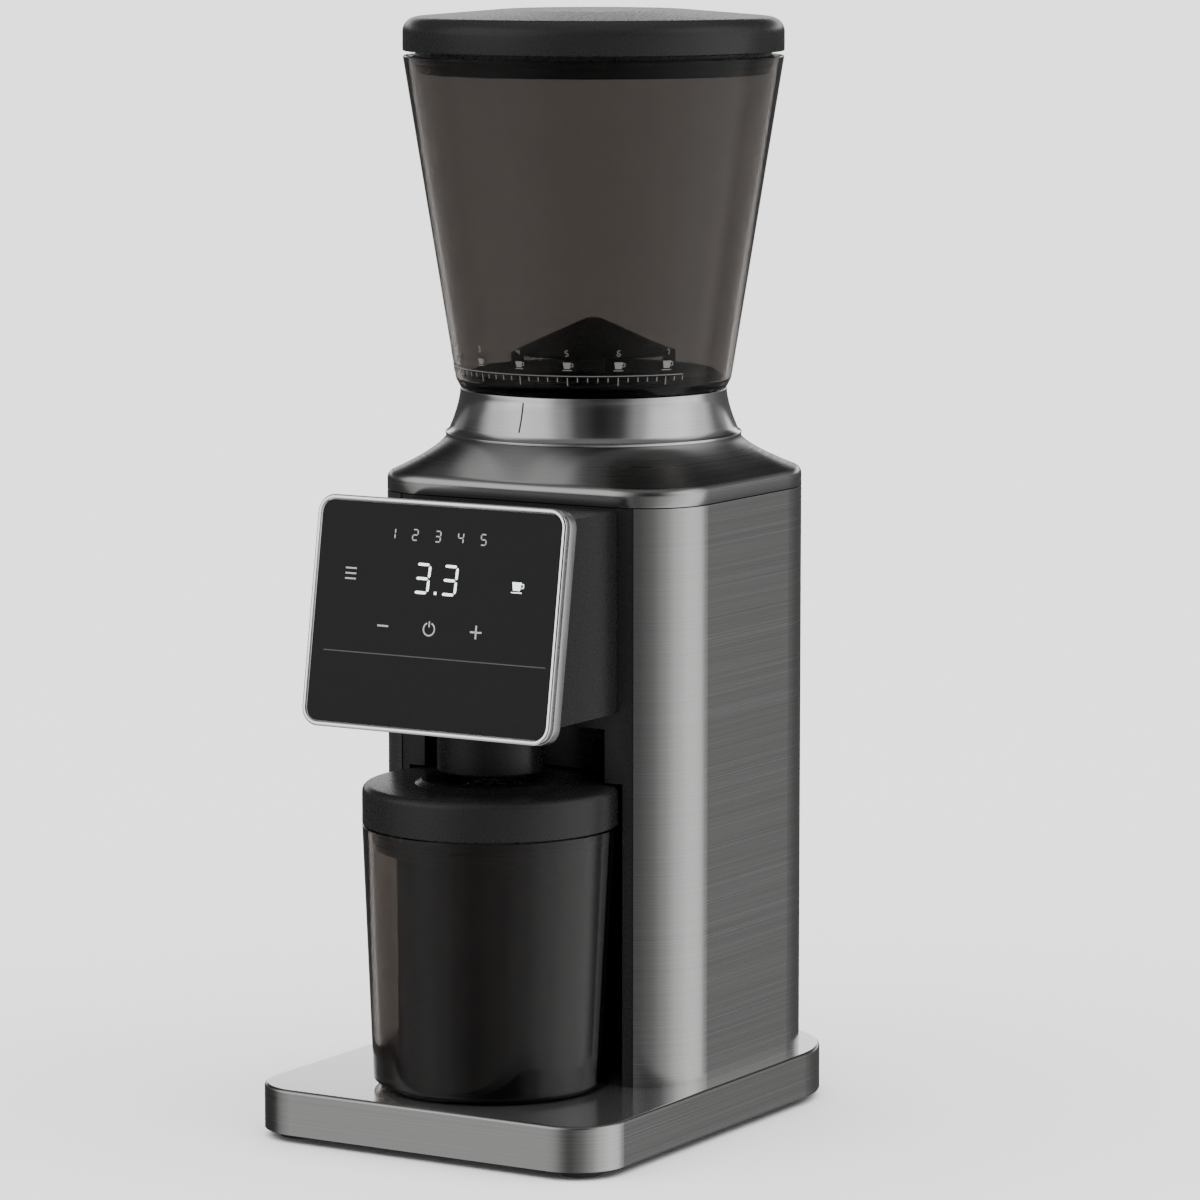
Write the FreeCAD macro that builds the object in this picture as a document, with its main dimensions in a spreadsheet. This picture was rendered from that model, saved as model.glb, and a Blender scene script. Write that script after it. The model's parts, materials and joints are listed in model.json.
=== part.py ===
"""Burr coffee grinder: steel base and column, smoked hopper, conical burrs driven through a two-stage gearbox.

The frame's origin is the centre of the base's footprint, at the height the feet stand on.  +Z is up,
-Y is the front with the control panel, and +X is to the right of someone facing the panel.
Sizes are millimetres.  Every size comes from the sheet below.
"""
import FreeCAD, Part
import math
import os
import re
import Sketcher

DIMENSIONS = {
    # base: a pressed steel tray over a moulded chassis
    "base_half_width": 71.45, "base_half_depth": 92.8, "base_top": 18.8, "base_skirt": 3.0,
    "base_front_corner": 19.0, "base_rear_corner": 40.0, "sheet": 1.2, "chassis_floor": 2.4,
    "foot_radius": 8.7, "foot_side": 57.0, "front_foot_depth": 78.2, "rear_foot_depth": 62.0,
    "gap": 0.3, "wall": 2.2,
    # column: a steel sheet wrapped round the sides and the back
    "column_half_width": 63.5, "column_front": -29.4, "column_back": 88.8, "column_top": 220.85,
    "column_front_corner": 25.4, "column_rear_corner": 36.0, "wrap_edge": 47.5, "front_panel_half": 47.2,
    "window_half": 36.0, "window_bottom": 44.0, "window_top": 196.0,
    "louvre_half": 26.0, "louvre_height": 3.2, "louvre_pitch": 8.0, "louvre_first": 120.0,
    # bay for the grounds container
    "container_y": -44.0, "bay_radius": 46.3, "bay_top": 125.2, "upper_bay_radius": 39.8,
    "upper_bay_top": 144.0, "head_bottom": 150.0,
    # shoulder cap and neck
    "cap_skirt_top": 227.6, "neck_bottom": 240.2, "neck_top": 256.6, "neck_foot_radius": 52.0,
    "neck_throat": 44.6, "cap_bore": 46.5, "cove_curve": 1.42,
    # head and control panel
    "head_half_width": 42.0, "head_top": 220.0, "head_front_top": -67.2, "head_front_bottom": -78.8,
    "panel_half_width": 49.9, "panel_half_height": 39.9, "panel_corner": 6.5, "panel_tilt": 9.2,
    "panel_y": -81.4, "panel_z": 186.1, "panel_depth": 8.0, "bezel_depth": 2.2, "bezel_width": 2.6,
    "panel_groove": 0.7, "glass_recess": 0.5, "glass_thickness": 1.6, "board_thickness": 1.6,
    "board_back": 7.0, "display_half_width": 20.0, "display_half_height": 8.0, "display_lift": 6.0,
    # spout and chute
    "spout_radius": 19.0, "spout_bottom": 129.0, "spout_bore": 14.0, "spout_flange_radius": 21.0,
    "chute_half": 9.0, "chute_bottom": 189.4, "chute_height": 13.0,
    # burr axis and the drive on it
    "burr_y": 24.8, "shaft_radius": 4.0, "shaft_bottom": 150.6, "shaft_top": 228.0, "running": 0.05,
    "chamber_radius": 36.0, "chamber_floor": 184.6, "chamber_inner": 33.2, "chamber_top": 219.8,
    "impeller_radius": 32.4, "impeller_bottom": 189.0, "impeller_disc": 2.4, "paddle_height": 3.0,
    "paddle_width": 2.4, "paddle_start": 20.0,
    "inner_burr_bottom": 197.0, "inner_burr_top": 219.0, "inner_burr_foot": 20.0, "inner_burr_head": 9.0,
    "burr_relief": 1.2, "flute_width": 1.6, "flute_depth": 1.6, "flute_count": 12,
    "ring_burr_outer": 27.0, "ring_burr_bottom": 198.2, "ring_burr_top": 218.2,
    "carrier_outer": 31.5, "carrier_bottom": 196.4, "carrier_top": 236.0,
    "nut_radius": 7.5, "nut_height": 6.0,
    # adjusting ring under the hopper
    "ring_outer": 44.2, "ring_bottom": 238.0, "ring_top": 254.4, "ring_tube_outer": 35.2,
    "ring_tube_inner": 31.9, "ring_tube_bottom": 222.4, "ring_flange": 3.0,
    # gearbox; gear places are measured from the burr axis
    "gearbox_left": -31.0, "gearbox_right": 47.0, "gearbox_front": -4.6, "gearbox_back": 60.0,
    "gearbox_corner": 8.0, "gearbox_floor": 147.5, "gearbox_rim": 178.6, "gearbox_wall": 2.4,
    "gearbox_lid": 3.0,
    "idler_x": 27.0, "idler_y": 13.0, "motor_x": 11.0, "motor_y": 25.0, "idler_pin": 2.5,
    "fast_module": 0.5, "slow_module": 0.75, "wheel_teeth": 64, "pinion_teeth": 16,
    "pressure_angle": 20.0, "backlash": 0.16, "addendum": 0.9, "dedendum": 1.25,
    "fast_wheel_bottom": 153.0, "fast_wheel_height": 6.0, "slow_wheel_bottom": 162.0, "slow_wheel_height": 9.0,
    "bearing_radius": 7.6, "bearing_height": 5.0,
    # motor
    "motor_radius": 23.0, "motor_wall": 1.5, "motor_top": 141.0, "motor_bottom": 66.0, "armature_radius": 16.5,
    "armature_bottom": 78.0, "armature_top": 128.0, "motor_shaft": 2.0, "motor_shaft_bottom": 50.0,
    "motor_shaft_top": 159.5, "magnet_inner": 17.2, "magnet_gap": 4.0, "fan_radius": 19.0, "fan_height": 7.0,
    "fan_blades": 7, "rubber_radius": 17.0, "motor_boss": 9.0,
    # inner frame
    "shelf_bottom": 144.5, "post": 8.0, "front_post_x": 50.0, "front_post_y": 16.0, "rear_post_x": 30.0,
    "rear_post_y": 75.0,
    # power board
    "board_x": -54.0, "board_y": 22.0, "board_z": 44.0, "board_length": 44.0, "board_tall": 80.0,
    "transformer": 22.0, "capacitor_radius": 6.0, "capacitor_height": 16.0,
    # hopper
    "hopper_foot_radius": 47.1, "hopper_bottom": 256.9, "hopper_chamfer_radius": 48.7, "hopper_chamfer_top": 260.0,
    "hopper_rim_radius": 67.0, "hopper_top": 373.4, "hopper_wall": 2.0, "hopper_floor_top": 264.0,
    "hopper_throat": 28.0, "hopper_spigot_outer": 42.6, "hopper_spigot_bottom": 254.7,
    "guard_rim_radius": 27.2, "guard_rim_bottom": 267.7, "guard_rim_top": 270.7, "guard_tip_radius": 2.7,
    "guard_top": 280.7, "guard_wall": 1.8, "guard_leg": 4.0, "guard_leg_start": 25.8,
    "lid_radius": 67.1, "lid_bottom": 375.0, "lid_side_top": 382.0, "lid_dome_radius": 61.0, "lid_dome_z": 387.2,
    "lid_top": 390.0, "lid_wall": 2.2, "lid_plug_radius": 62.6, "lid_plug_bottom": 367.0,
    "lid_seal_radius": 64.0, "lid_seal_bottom": 369.6, "lid_seal_height": 3.6,
    "switch_width": 20.0, "switch_depth": 7.0, "switch_height": 9.0,
    # grounds container
    "container_radius": 44.7, "container_foot_radius": 41.2, "container_bottom": 19.1, "container_top": 110.4,
    "container_wall": 2.2, "container_lid_bottom": 110.7, "container_lid_side": 121.8, "container_lid_edge": 42.2,
    "container_lid_top": 124.5, "lid_hole": 15.5, "lid_collar": 24.0, "lid_collar_top": 126.2,
    "lid_skirt": 40.6, "lid_skirt_bottom": 102.0, "ring_seal": 42.0, "ring_seal_bottom": 104.6,
    "ring_seal_height": 3.0,
    # rear fittings
    "gland_z": 31.0, "gland_x": -34.0, "gland_flange": 7.0, "gland_bore": 3.4, "gland_back": 91.8,
    "gland_body": 5.4, "gland_front": 80.0, "screw_head": 3.2, "screw_shank": 1.5, "screw_length": 9.0,
    "screw_head_height": 1.6, "rear_screw_x": 31.0, "rear_screw_low": 50.0, "rear_screw_high": 190.0,
    "base_screw_x": 46.0, "base_screw_y": 40.0,
}

doc = FreeCAD.newDocument("grinder")
sheet = doc.addObject("Spreadsheet::Sheet", "Params")
for row, (alias, size) in enumerate(DIMENSIONS.items(), 1):
    sheet.set(f"A{row}", alias)
    sheet.set(f"B{row}", str(size))
    sheet.setAlias(f"B{row}", alias)
doc.recompute()


def bound(text):
    """The expression a property is bound to: each dimension's name read from the sheet."""
    return re.sub(r"[a-z]\w+", lambda word: f"Params.{word.group()}" if word.group() in DIMENSIONS else word.group(),
                  text)


def number(text):
    """What such an expression comes to now."""
    result = sheet.evalExpression(bound(text))
    return float(getattr(result, "Value", result))


def place(piece, x="0", y="0", z="0"):
    """Bind a piece's position to the sheet."""
    for axis, text in (("x", x), ("y", y), ("z", z)):
        piece.setExpression(f"Placement.Base.{axis}", bound(text))
    return piece


# ---- sketches ---------------------------------------------------------------------------------------------

def arc_between(start, end, radius):
    """The shorter arc that turns left from start to end."""
    chord = end - start
    left = FreeCAD.Vector(-chord.y, chord.x, 0).normalize()
    centre = (start + end) * 0.5 + left * math.sqrt(max(radius ** 2 - (chord.Length / 2) ** 2, 0))
    first, last = (math.atan2((point - centre).y, (point - centre).x) for point in (start, end))
    circle = Part.Circle(centre, FreeCAD.Vector(0, 0, 1), radius)
    return Part.ArcOfCircle(circle, first, last)


def fix(sketch, constraint, text):
    """Add a constraint and bind its value to the sheet."""
    index = sketch.addConstraint(constraint)
    sketch.setExpression(f"Constraints[{index}]", bound(text))


def draw(sketch, outline):
    """Draw a closed outline.  A corner is (x, y), or (x, y, radius) where an arc leads to the next corner."""
    corners = [FreeCAD.Vector(number(corner[0]), number(corner[1]), 0) for corner in outline]
    for index, corner in enumerate(outline):
        start, end = corners[index], corners[(index + 1) % len(corners)]
        if len(corner) == 3:
            sketch.addGeometry(arc_between(start, end, number(corner[2])))
        else:
            sketch.addGeometry(Part.LineSegment(start, end))
    for index, corner in enumerate(outline):
        sketch.addConstraint(Sketcher.Constraint("Coincident", (index - 1) % len(outline), 2, index, 1))
        fix(sketch, Sketcher.Constraint("DistanceX", -1, 1, index, 1, number(corner[0])), corner[0])
        fix(sketch, Sketcher.Constraint("DistanceY", -1, 1, index, 1, number(corner[1])), corner[1])
        if len(corner) == 3:
            fix(sketch, Sketcher.Constraint("Radius", index, number(corner[2])), corner[2])


def new_body(label, plane, outline):
    """A body with one sketch on the plane named."""
    body = doc.addObject("PartDesign::Body", label)
    body.Label = label
    sketch = body.newObject("Sketcher::SketchObject", f"{label}_sketch")
    origin_plane = next(f for f in body.Origin.OriginFeatures if f.Role == plane)
    sketch.AttachmentSupport = [(origin_plane, "")]
    sketch.MapMode = "FlatFace"
    draw(sketch, outline)
    return body, sketch


def turned(label, profile, x="0", y="0", z="0"):
    """A piece turned about a vertical axis from its (radius, height) profile."""
    body, sketch = new_body(label, "XZ_Plane", profile)
    turn = body.newObject("PartDesign::Revolution", f"{label}_turn")
    turn.Profile = sketch
    turn.ReferenceAxis = (sketch, ["V_Axis"])
    turn.Angle = 360.0
    return place(body, x, y, z)


def prism(label, outline, bottom, top, plane="XY_Plane"):
    """A piece of constant section, from bottom to top."""
    body, sketch = new_body(label, plane, outline)
    pad = body.newObject("PartDesign::Pad", f"{label}_pad")
    pad.Profile = sketch
    pad.setExpression("Length", bound(f"({top}) - ({bottom})"))
    return place(body, z=bottom)


def side_prism(label, outline, half_width):
    """A piece of constant side section, symmetric about the middle plane."""
    body, sketch = new_body(label, "YZ_Plane", outline)
    pad = body.newObject("PartDesign::Pad", f"{label}_pad")
    pad.Profile = sketch
    pad.Midplane = True
    pad.setExpression("Length", bound(f"2 * ({half_width})"))
    return body


def rounded(half, front, back, front_corner, rear_corner, inset="0"):
    """A rounded rectangle's corners, drawn in by the inset."""
    side, near, far = f"({half} - {inset})", f"({front} + {inset})", f"({back} - {inset})"
    near_arc, far_arc = f"({front_corner} - {inset})", f"({rear_corner} - {inset})"
    return [
        (f"-{side} + {near_arc}", near), (f"{side} - {near_arc}", near, near_arc),
        (side, f"{near} + {near_arc}"), (side, f"{far} - {far_arc}", far_arc),
        (f"{side} - {far_arc}", far), (f"-{side} + {far_arc}", far, far_arc),
        (f"-{side}", f"{far} - {far_arc}"), (f"-{side}", f"{near} + {near_arc}", near_arc),
    ]


# ---- simple solids and booleans ---------------------------------------------------------------------------

def box(label, low, high):
    """A box between two corners."""
    piece = doc.addObject("Part::Box", label)
    for edge, lowest, highest in zip(("Length", "Width", "Height"), low, high):
        piece.setExpression(edge, bound(f"({highest}) - ({lowest})"))
    return place(piece, *low)


def rod(label, radius, bottom, top, x="0", y="0"):
    """An upright round rod."""
    piece = doc.addObject("Part::Cylinder", label)
    piece.setExpression("Radius", bound(radius))
    piece.setExpression("Height", bound(f"({top}) - ({bottom})"))
    return place(piece, x, y, bottom)


def cross_rod(label, radius, front, back, x, z):
    """A round rod along Y, from front to back."""
    piece = doc.addObject("Part::Cylinder", label)
    piece.setExpression("Radius", bound(radius))
    piece.setExpression("Height", bound(f"({back}) - ({front})"))
    piece.Placement.Rotation = FreeCAD.Rotation(FreeCAD.Vector(1, 0, 0), -90)
    return place(piece, x, front, z)


def fused(label, *pieces):
    piece = doc.addObject("Part::MultiFuse", label)
    piece.Shapes = list(pieces)
    return piece


def common(label, *pieces):
    piece = doc.addObject("Part::MultiCommon", label)
    piece.Shapes = list(pieces)
    return piece


def cut(label, base, *tools):
    """The base less every tool."""
    piece = doc.addObject("Part::Cut", label)
    piece.Base = base
    piece.Tool = tools[0] if len(tools) == 1 else fused(f"{label}_tools", *tools)
    return piece


def spoke(label, length, width, bottom, top, reach, turn, x="0", y="0", lean=0.0):
    """A box that starts at a distance from an upright axis and points away from it, turned and leant in degrees."""
    piece = doc.addObject("Part::Box", label)
    for edge, text in (("Length", length), ("Width", width), ("Height", f"({top}) - ({bottom})")):
        piece.setExpression(edge, bound(text))
    piece.Placement.Rotation = FreeCAD.Rotation(turn, lean, 0)
    return place(piece, f"{x} + ({reach}) * cos({turn} deg) + ({width}) / 2 * sin({turn} deg)",
                 f"{y} + ({reach}) * sin({turn} deg) - ({width}) / 2 * cos({turn} deg)", bottom)


def tube(label, inner, outer, bottom, top, x="0", y="0"):
    """A plain ring."""
    return turned(label, [(inner, bottom), (outer, bottom), (outer, top), (inner, top)], x, y)


def group(label, *pieces):
    """Identical fasteners: separate solids that share one node."""
    piece = doc.addObject("Part::Compound", label)
    piece.Links = list(pieces)
    return piece


PARTS = []


def keep(piece, label=None):
    """Hand a finished sub-part over, under its own label."""
    piece.Label = label or piece.Label
    PARTS.append(piece)
    return piece


# ---- base -------------------------------------------------------------------------------------------------

BASE = ("base_half_width", "-base_half_depth", "base_half_depth", "base_front_corner", "base_rear_corner")
COLUMN = ("column_half_width", "column_front", "column_back", "column_front_corner", "column_rear_corner")


def base_cover():
    """Pressed steel tray, open below, with a hole where the column's wiring and posts come down."""
    tray = doc.addObject("Part::Fillet", "base_tray")
    tray.Base = prism("base_blank", rounded(*BASE), "base_skirt", "base_top")
    doc.recompute()
    tray.Edges = [(number_of, number("sheet"), number("sheet"))
                  for number_of, edge in enumerate(tray.Base.Shape.Edges, 1)
                  if abs(edge.BoundBox.ZMin - number("base_top")) < 1e-6]
    hollow = prism("base_tray_hollow", rounded(*BASE, inset="sheet"), "base_skirt - sheet", "base_top - sheet")
    well = prism("base_tray_well", rounded(*COLUMN, inset="3 * wall"), "base_skirt", "base_top + sheet")
    front = box("base_tray_front", ("-base_half_width", "-base_half_depth", "0"),
                ("base_half_width", "gearbox_wall * 4", "base_top * 2"))
    keep(cut("base_cover", tray, hollow, cut("base_tray_hole", well, front)))


def base_chassis():
    """Moulded tub inside the tray: a floor with a low wall."""
    inset = "sheet + gap"
    tub = prism("chassis_block", rounded(*BASE, inset=f"({inset})"), "base_skirt + gap", "base_top - sheet - gap")
    hollow = prism("chassis_hollow", rounded(*BASE, inset=f"({inset} + wall)"),
                   "base_skirt + gap + chassis_floor", "base_top")
    vents = [box(f"chassis_vent_{n}", (f"-louvre_half + {n} * louvre_pitch", "column_front", "0"),
                 (f"-louvre_half + {n} * louvre_pitch + louvre_height", "column_front + louvre_half", "base_top"))
             for n in range(7)]
    holes = [rod(f"chassis_hole_{side}_{end}", "screw_shank", "0", "base_top", f"{side} * base_screw_x",
                 f"{end} * base_screw_y") for side in (-1, 1) for end in (-1, 1)]
    keep(cut("base_chassis", tub, hollow, *vents, *holes))


def feet():
    """Four rubber feet, each with a stem pushed into the chassis floor's underside."""
    for end, depth in (("front", "-front_foot_depth"), ("rear", "rear_foot_depth")):
        for side, x in (("left", "-foot_side"), ("right", "foot_side")):
            shift = x if end == "front" else f"{x} * 0.85"
            keep(turned(f"foot_{end}_{side}", [
                ("0", "0"), ("foot_radius - 2 * gap", "0"), ("foot_radius", "2 * gap"),
                ("foot_radius", "base_skirt + gap"), ("0", "base_skirt + gap")], shift, depth))


def screw(label, x, y, z):
    """A pan-head screw with its head below."""
    head = rod(f"{label}_head", "screw_head", z, f"{z} + screw_head_height", x, y)
    shank = rod(f"{label}_shank", "screw_shank", z, f"{z} + screw_length", x, y)
    return fused(label, head, shank)


def rear_screw(label, x, z):
    """A screw along Y with its head on the rear cover."""
    head = cross_rod(f"{label}_head", "screw_head", "column_back", "column_back + screw_head_height", x, z)
    shank = cross_rod(f"{label}_shank", "screw_shank", "column_back - screw_length", "column_back", x, z)
    return fused(label, head, shank)


def base_screws():
    """Four screws under the chassis, with their holes through its floor."""
    screws = [screw(f"base_screw_{side}_{end}", f"{side} * base_screw_x", f"{end} * base_screw_y",
                    "base_skirt + gap - screw_head_height")
              for side in (-1, 1) for end in (-1, 1)]
    keep(group("base_screws", *screws))


# ---- column -----------------------------------------------------------------------------------------------

def steel_wrap():
    """Sheet wrapped round the sides and the back, with a window for the rear cover."""
    outer = prism("wrap_outer", rounded(*COLUMN), "base_top", "column_top")
    inner = prism("wrap_inner", rounded(*COLUMN, inset="sheet"), "base_top - sheet", "column_top + sheet")
    mouth = box("wrap_mouth", ("-wrap_edge", "column_front - wall", "0"),
                ("wrap_edge", "0", "column_top + sheet"))
    window = box("wrap_window", ("-window_half", "column_back - 4 * wall", "window_bottom"),
                 ("window_half", "column_back + wall", "window_top"))
    gland = cross_rod("wrap_gland_hole", "gland_body", "gland_front", "column_back + wall", "gland_x", "gland_z")
    keep(cut("steel_wrap", outer, inner, mouth, window, gland))


def front_panel():
    """Moulded front between the wrap's edges, with the concave bay behind the container."""
    outline = prism("front_outline", rounded(*COLUMN, inset="sheet"), "base_top", "column_top")
    slab = box("front_slab", ("-front_panel_half", "column_front - wall", "base_top"),
               ("front_panel_half", "bay_radius + container_y + 2 * wall", "column_top"))
    proud = prism("front_proud", rounded(*COLUMN, inset="gap"), "base_top", "column_top")
    face = box("front_face", ("-front_panel_half", "column_front - wall", "base_top"),
               ("front_panel_half", "column_front + 2 * wall", "column_top"))
    block = fused("front_block", common("front_core", outline, slab), common("front_skin", proud, face))
    bay = rod("front_bay", "bay_radius", "base_top", "bay_top", y="container_y")
    upper = rod("front_upper_bay", "upper_bay_radius", "base_top", "upper_bay_top", y="container_y")
    behind = box("front_behind", ("-front_panel_half + wall", "column_front + wall", "0"),
                 ("front_panel_half - wall", "bay_radius", "column_top + sheet"))
    pocket = rod("front_pocket", "bay_radius + wall", "0", "bay_top + wall", y="container_y")
    upper_pocket = rod("front_upper_pocket", "upper_bay_radius + wall", "0", "upper_bay_top + wall", y="container_y")
    core = cut("front_hollow", behind, pocket, upper_pocket)
    port = box("front_port", ("-chute_half - wall", "column_front - wall", "chute_bottom - chute_height"),
               ("chute_half + wall", "column_front + 2 * wall", "chute_bottom + chute_height + wall"))
    above = box("front_above", ("-base_half_width", "column_front + 4 * wall", "upper_bay_top + wall"),
                ("base_half_width", "bay_radius", "column_top + sheet"))
    outlet = rod("front_outlet", "spout_flange_radius + gap", "bay_top", "head_bottom + 3 * wall", y="container_y")
    keep(cut("front_panel", block, bay, upper, core, port, above, outlet))


def inner_frame():
    """Shelf that carries the gearbox, on four posts that stand on the chassis."""
    shelf = prism("shelf", rounded(*COLUMN, inset="(sheet + gap)"), "shelf_bottom", "gearbox_floor")
    front = box("shelf_front", ("-base_half_width", "-base_half_depth", "0"),
                ("base_half_width", "front_post_y - post", "column_top"))
    boss = rod("shelf_boss", "motor_boss", "0", "column_top", "motor_x", "burr_y + motor_y")
    posts = []
    for side in (-1, 1):
        for end, x, y in (("front", "front_post_x", "front_post_y"), ("rear", "rear_post_x", "rear_post_y")):
            posts.append(box(f"post_{end}_{side}",
                             (f"{side} * {x} - post / 2", f"{y} - post / 2", "base_skirt + gap + chassis_floor"),
                             (f"{side} * {x} + post / 2", f"{y} + post / 2", "shelf_bottom")))
    recess = box("shelf_recess", ("-window_half - gap", "column_back - sheet - wall - gap", "0"),
                 ("window_half + gap", "column_back", "column_top"))
    keep(fused("inner_frame", cut("shelf_cut", shelf, front, boss, recess), *posts))


def rear_cover():
    """Vented cover in the wrap's window, with a lip inside the sheet."""
    plug = box("rear_plug", ("-window_half + gap / 2", "column_back - sheet - gap", "window_bottom + gap / 2"),
               ("window_half - gap / 2", "column_back", "window_top - gap / 2"))
    lip = box("rear_lip", ("-window_half + gap / 2", "column_back - sheet - wall", "window_bottom + gap / 2"),
              ("window_half - gap / 2", "column_back - sheet - gap", "window_top - gap / 2"))
    louvres = [box(f"louvre_{n}", ("-louvre_half", "column_back - 4 * wall", f"louvre_first + {n} * louvre_pitch"),
                   ("louvre_half", "column_back + wall", f"louvre_first + {n} * louvre_pitch + louvre_height"))
               for n in range(8)]
    holes = [cross_rod(f"rear_hole_{side}_{level}", "screw_shank", "gland_front", "column_back + wall",
                       f"{side} * rear_screw_x", level)
             for side in (-1, 1) for level in ("rear_screw_low", "rear_screw_high")]
    keep(cut("rear_cover", fused("rear_plate", plug, lip), *louvres, *holes))
    screws = [rear_screw(f"rear_screw_{side}_{level}", f"{side} * rear_screw_x", level)
              for side in (-1, 1) for level in ("rear_screw_low", "rear_screw_high")]
    keep(group("rear_cover_screws", *screws))


def cord_gland():
    """Bushed inlet for the mains lead, low on the back."""
    flange = cross_rod("gland_flange", "gland_flange", "column_back", "gland_back", "gland_x", "gland_z")
    stem = cross_rod("gland_stem", "gland_body", "gland_front", "column_back", "gland_x", "gland_z")
    bore = cross_rod("gland_hole", "gland_bore", "gland_front - wall", "gland_back + wall", "gland_x", "gland_z")
    keep(cut("cord_gland", fused("gland_solid", flange, stem), bore))


# ---- shoulder and neck ------------------------------------------------------------------------------------

def column_point(angle, inset=0.0):
    """Where the ray at this angle from the burr axis meets the column's outline, from the burr axis."""
    half, front, back = (number(name) for name in ("column_half_width", "column_front", "column_back"))
    front_corner, rear_corner = number("column_front_corner"), number("column_rear_corner")
    front, back = front - number("burr_y"), back - number("burr_y")
    direction = (math.cos(angle), math.sin(angle))
    reach = min(half / max(abs(direction[0]), 1e-9),
                (back if direction[1] > 0 else -front) / max(abs(direction[1]), 1e-9))
    corner = rear_corner if direction[1] > 0 else front_corner
    centre = (half - corner, (back - corner) if direction[1] > 0 else (-front - corner))
    point = (abs(direction[0]) * reach, abs(direction[1]) * reach)
    if point[0] > centre[0] and point[1] > centre[1]:
        along = abs(direction[0]) * centre[0] + abs(direction[1]) * centre[1]
        away = centre[0] ** 2 + centre[1] ** 2 - along ** 2
        reach = along + math.sqrt(corner ** 2 - away)
    return (reach - inset) * direction[0], (reach - inset) * direction[1]


def cap_section(height, share, inset=0.0, sides=72):
    """The cap's outline at a height: share 1 is the column's outline, 0 the neck's circle."""
    neck = number("neck_foot_radius") - inset
    points = []
    for step in range(sides):
        angle = 2 * math.pi * (step + 0.5) / sides
        x, y = column_point(angle, inset)
        points.append(FreeCAD.Vector(share * x + (1 - share) * neck * math.cos(angle),
                                     share * y + (1 - share) * neck * math.sin(angle) + number("burr_y"), height))
    return Part.makePolygon(points + points[:1])


def cap_solid(inset, drop):
    """Skirt and cove: the outline shrinks to the neck's circle along a concave curve."""
    bottom, shoulder, top = number("column_top"), number("cap_skirt_top"), number("neck_bottom")
    sections = [cap_section(bottom - drop, 1.0, inset), cap_section(shoulder - drop, 1.0, inset)]
    steps = 6
    for step in range(1, steps + 1):
        rise = step / steps
        share = (1 - rise) ** number("cove_curve")
        sections.append(cap_section(shoulder + (top - shoulder) * rise - drop, share, inset))
    return Part.makeLoft(sections, True, True)


def top_cap():
    """Moulded shoulder between the column and the neck, hollow below."""
    shell = cap_solid(0.0, 0.0).cut(cap_solid(number("wall"), number("wall")))
    axis = FreeCAD.Vector(0, number("burr_y"), number("column_top"))
    bore = Part.makeCylinder(number("cap_bore"), number("neck_top"), axis)
    cap = doc.addObject("Part::Feature", "top_cap")
    cap.Shape = shell.cut(bore)
    keep(cap)


def neck_ring():
    """Brushed metal collar with its index mark, tapered to the hopper's foot."""
    steps = 5
    curve = []
    for step in range(steps + 1):
        up = step / steps
        curve.append((f"hopper_foot_radius + (neck_foot_radius - hopper_foot_radius) * {(1 - up) ** 1.6}",
                      f"neck_bottom + (neck_top - neck_bottom) * {up}"))
    keep(turned("neck_ring", [("neck_throat", "neck_bottom"), *curve, ("neck_throat", "neck_top")], y="burr_y"))


# ---- head and control panel -------------------------------------------------------------------------------

def head_housing():
    """Moulded head that carries the panel, open to the front, with holes for the spout and the chute."""
    outside = side_prism("head_outside", [
        ("head_front_bottom", "head_bottom"), ("column_front", "head_bottom"), ("column_front", "head_top"),
        ("head_front_top", "head_top")], "head_half_width")
    inside = side_prism("head_inside", [
        ("head_front_bottom - wall", "head_bottom + wall"), ("column_front - wall", "head_bottom + wall"),
        ("column_front - wall", "head_top - wall"), ("head_front_top - wall", "head_top - wall")],
        "head_half_width - wall")
    hole = rod("head_spout_hole", "spout_radius", "head_bottom - wall", "head_bottom + 2 * wall", y="container_y")
    port = box("head_port", ("-chute_half - wall", "column_front - 2 * wall", "chute_bottom - chute_height"),
               ("chute_half + wall", "column_front + wall", "chute_bottom + chute_height + wall"))
    seat = rod("head_spout_seat", "spout_flange_radius + gap", "head_bottom + wall", "head_bottom + 3 * wall",
               y="container_y")
    keep(cut("head_housing", outside, inside, hole, port, seat))


def on_panel(piece, lift="0"):
    """Lean a piece drawn flat so that its front lies in the panel's face, moved back by -lift."""
    lean = number("panel_tilt")
    piece.Placement.Rotation = FreeCAD.Rotation(FreeCAD.Vector(1, 0, 0), 90 - lean)
    return place(piece, "0", f"panel_y - ({lift}) * cos(panel_tilt * 1 deg)",
                 f"panel_z + ({lift}) * sin(panel_tilt * 1 deg)")


def panel_outline(inset="0"):
    return rounded("panel_half_width", "-panel_half_height", "panel_half_height", "panel_corner", "panel_corner",
                   inset)


def panel_ring(label, inset, width, back, front):
    """A ring round the panel, between two depths behind its face."""
    outer = prism(f"{label}_outer", panel_outline(inset), f"-({back})", f"-({front})")
    inner = prism(f"{label}_inner", panel_outline(f"({inset} + {width})"), f"-({back}) - wall", f"-({front}) + wall")
    return cut(label, outer, inner)


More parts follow.
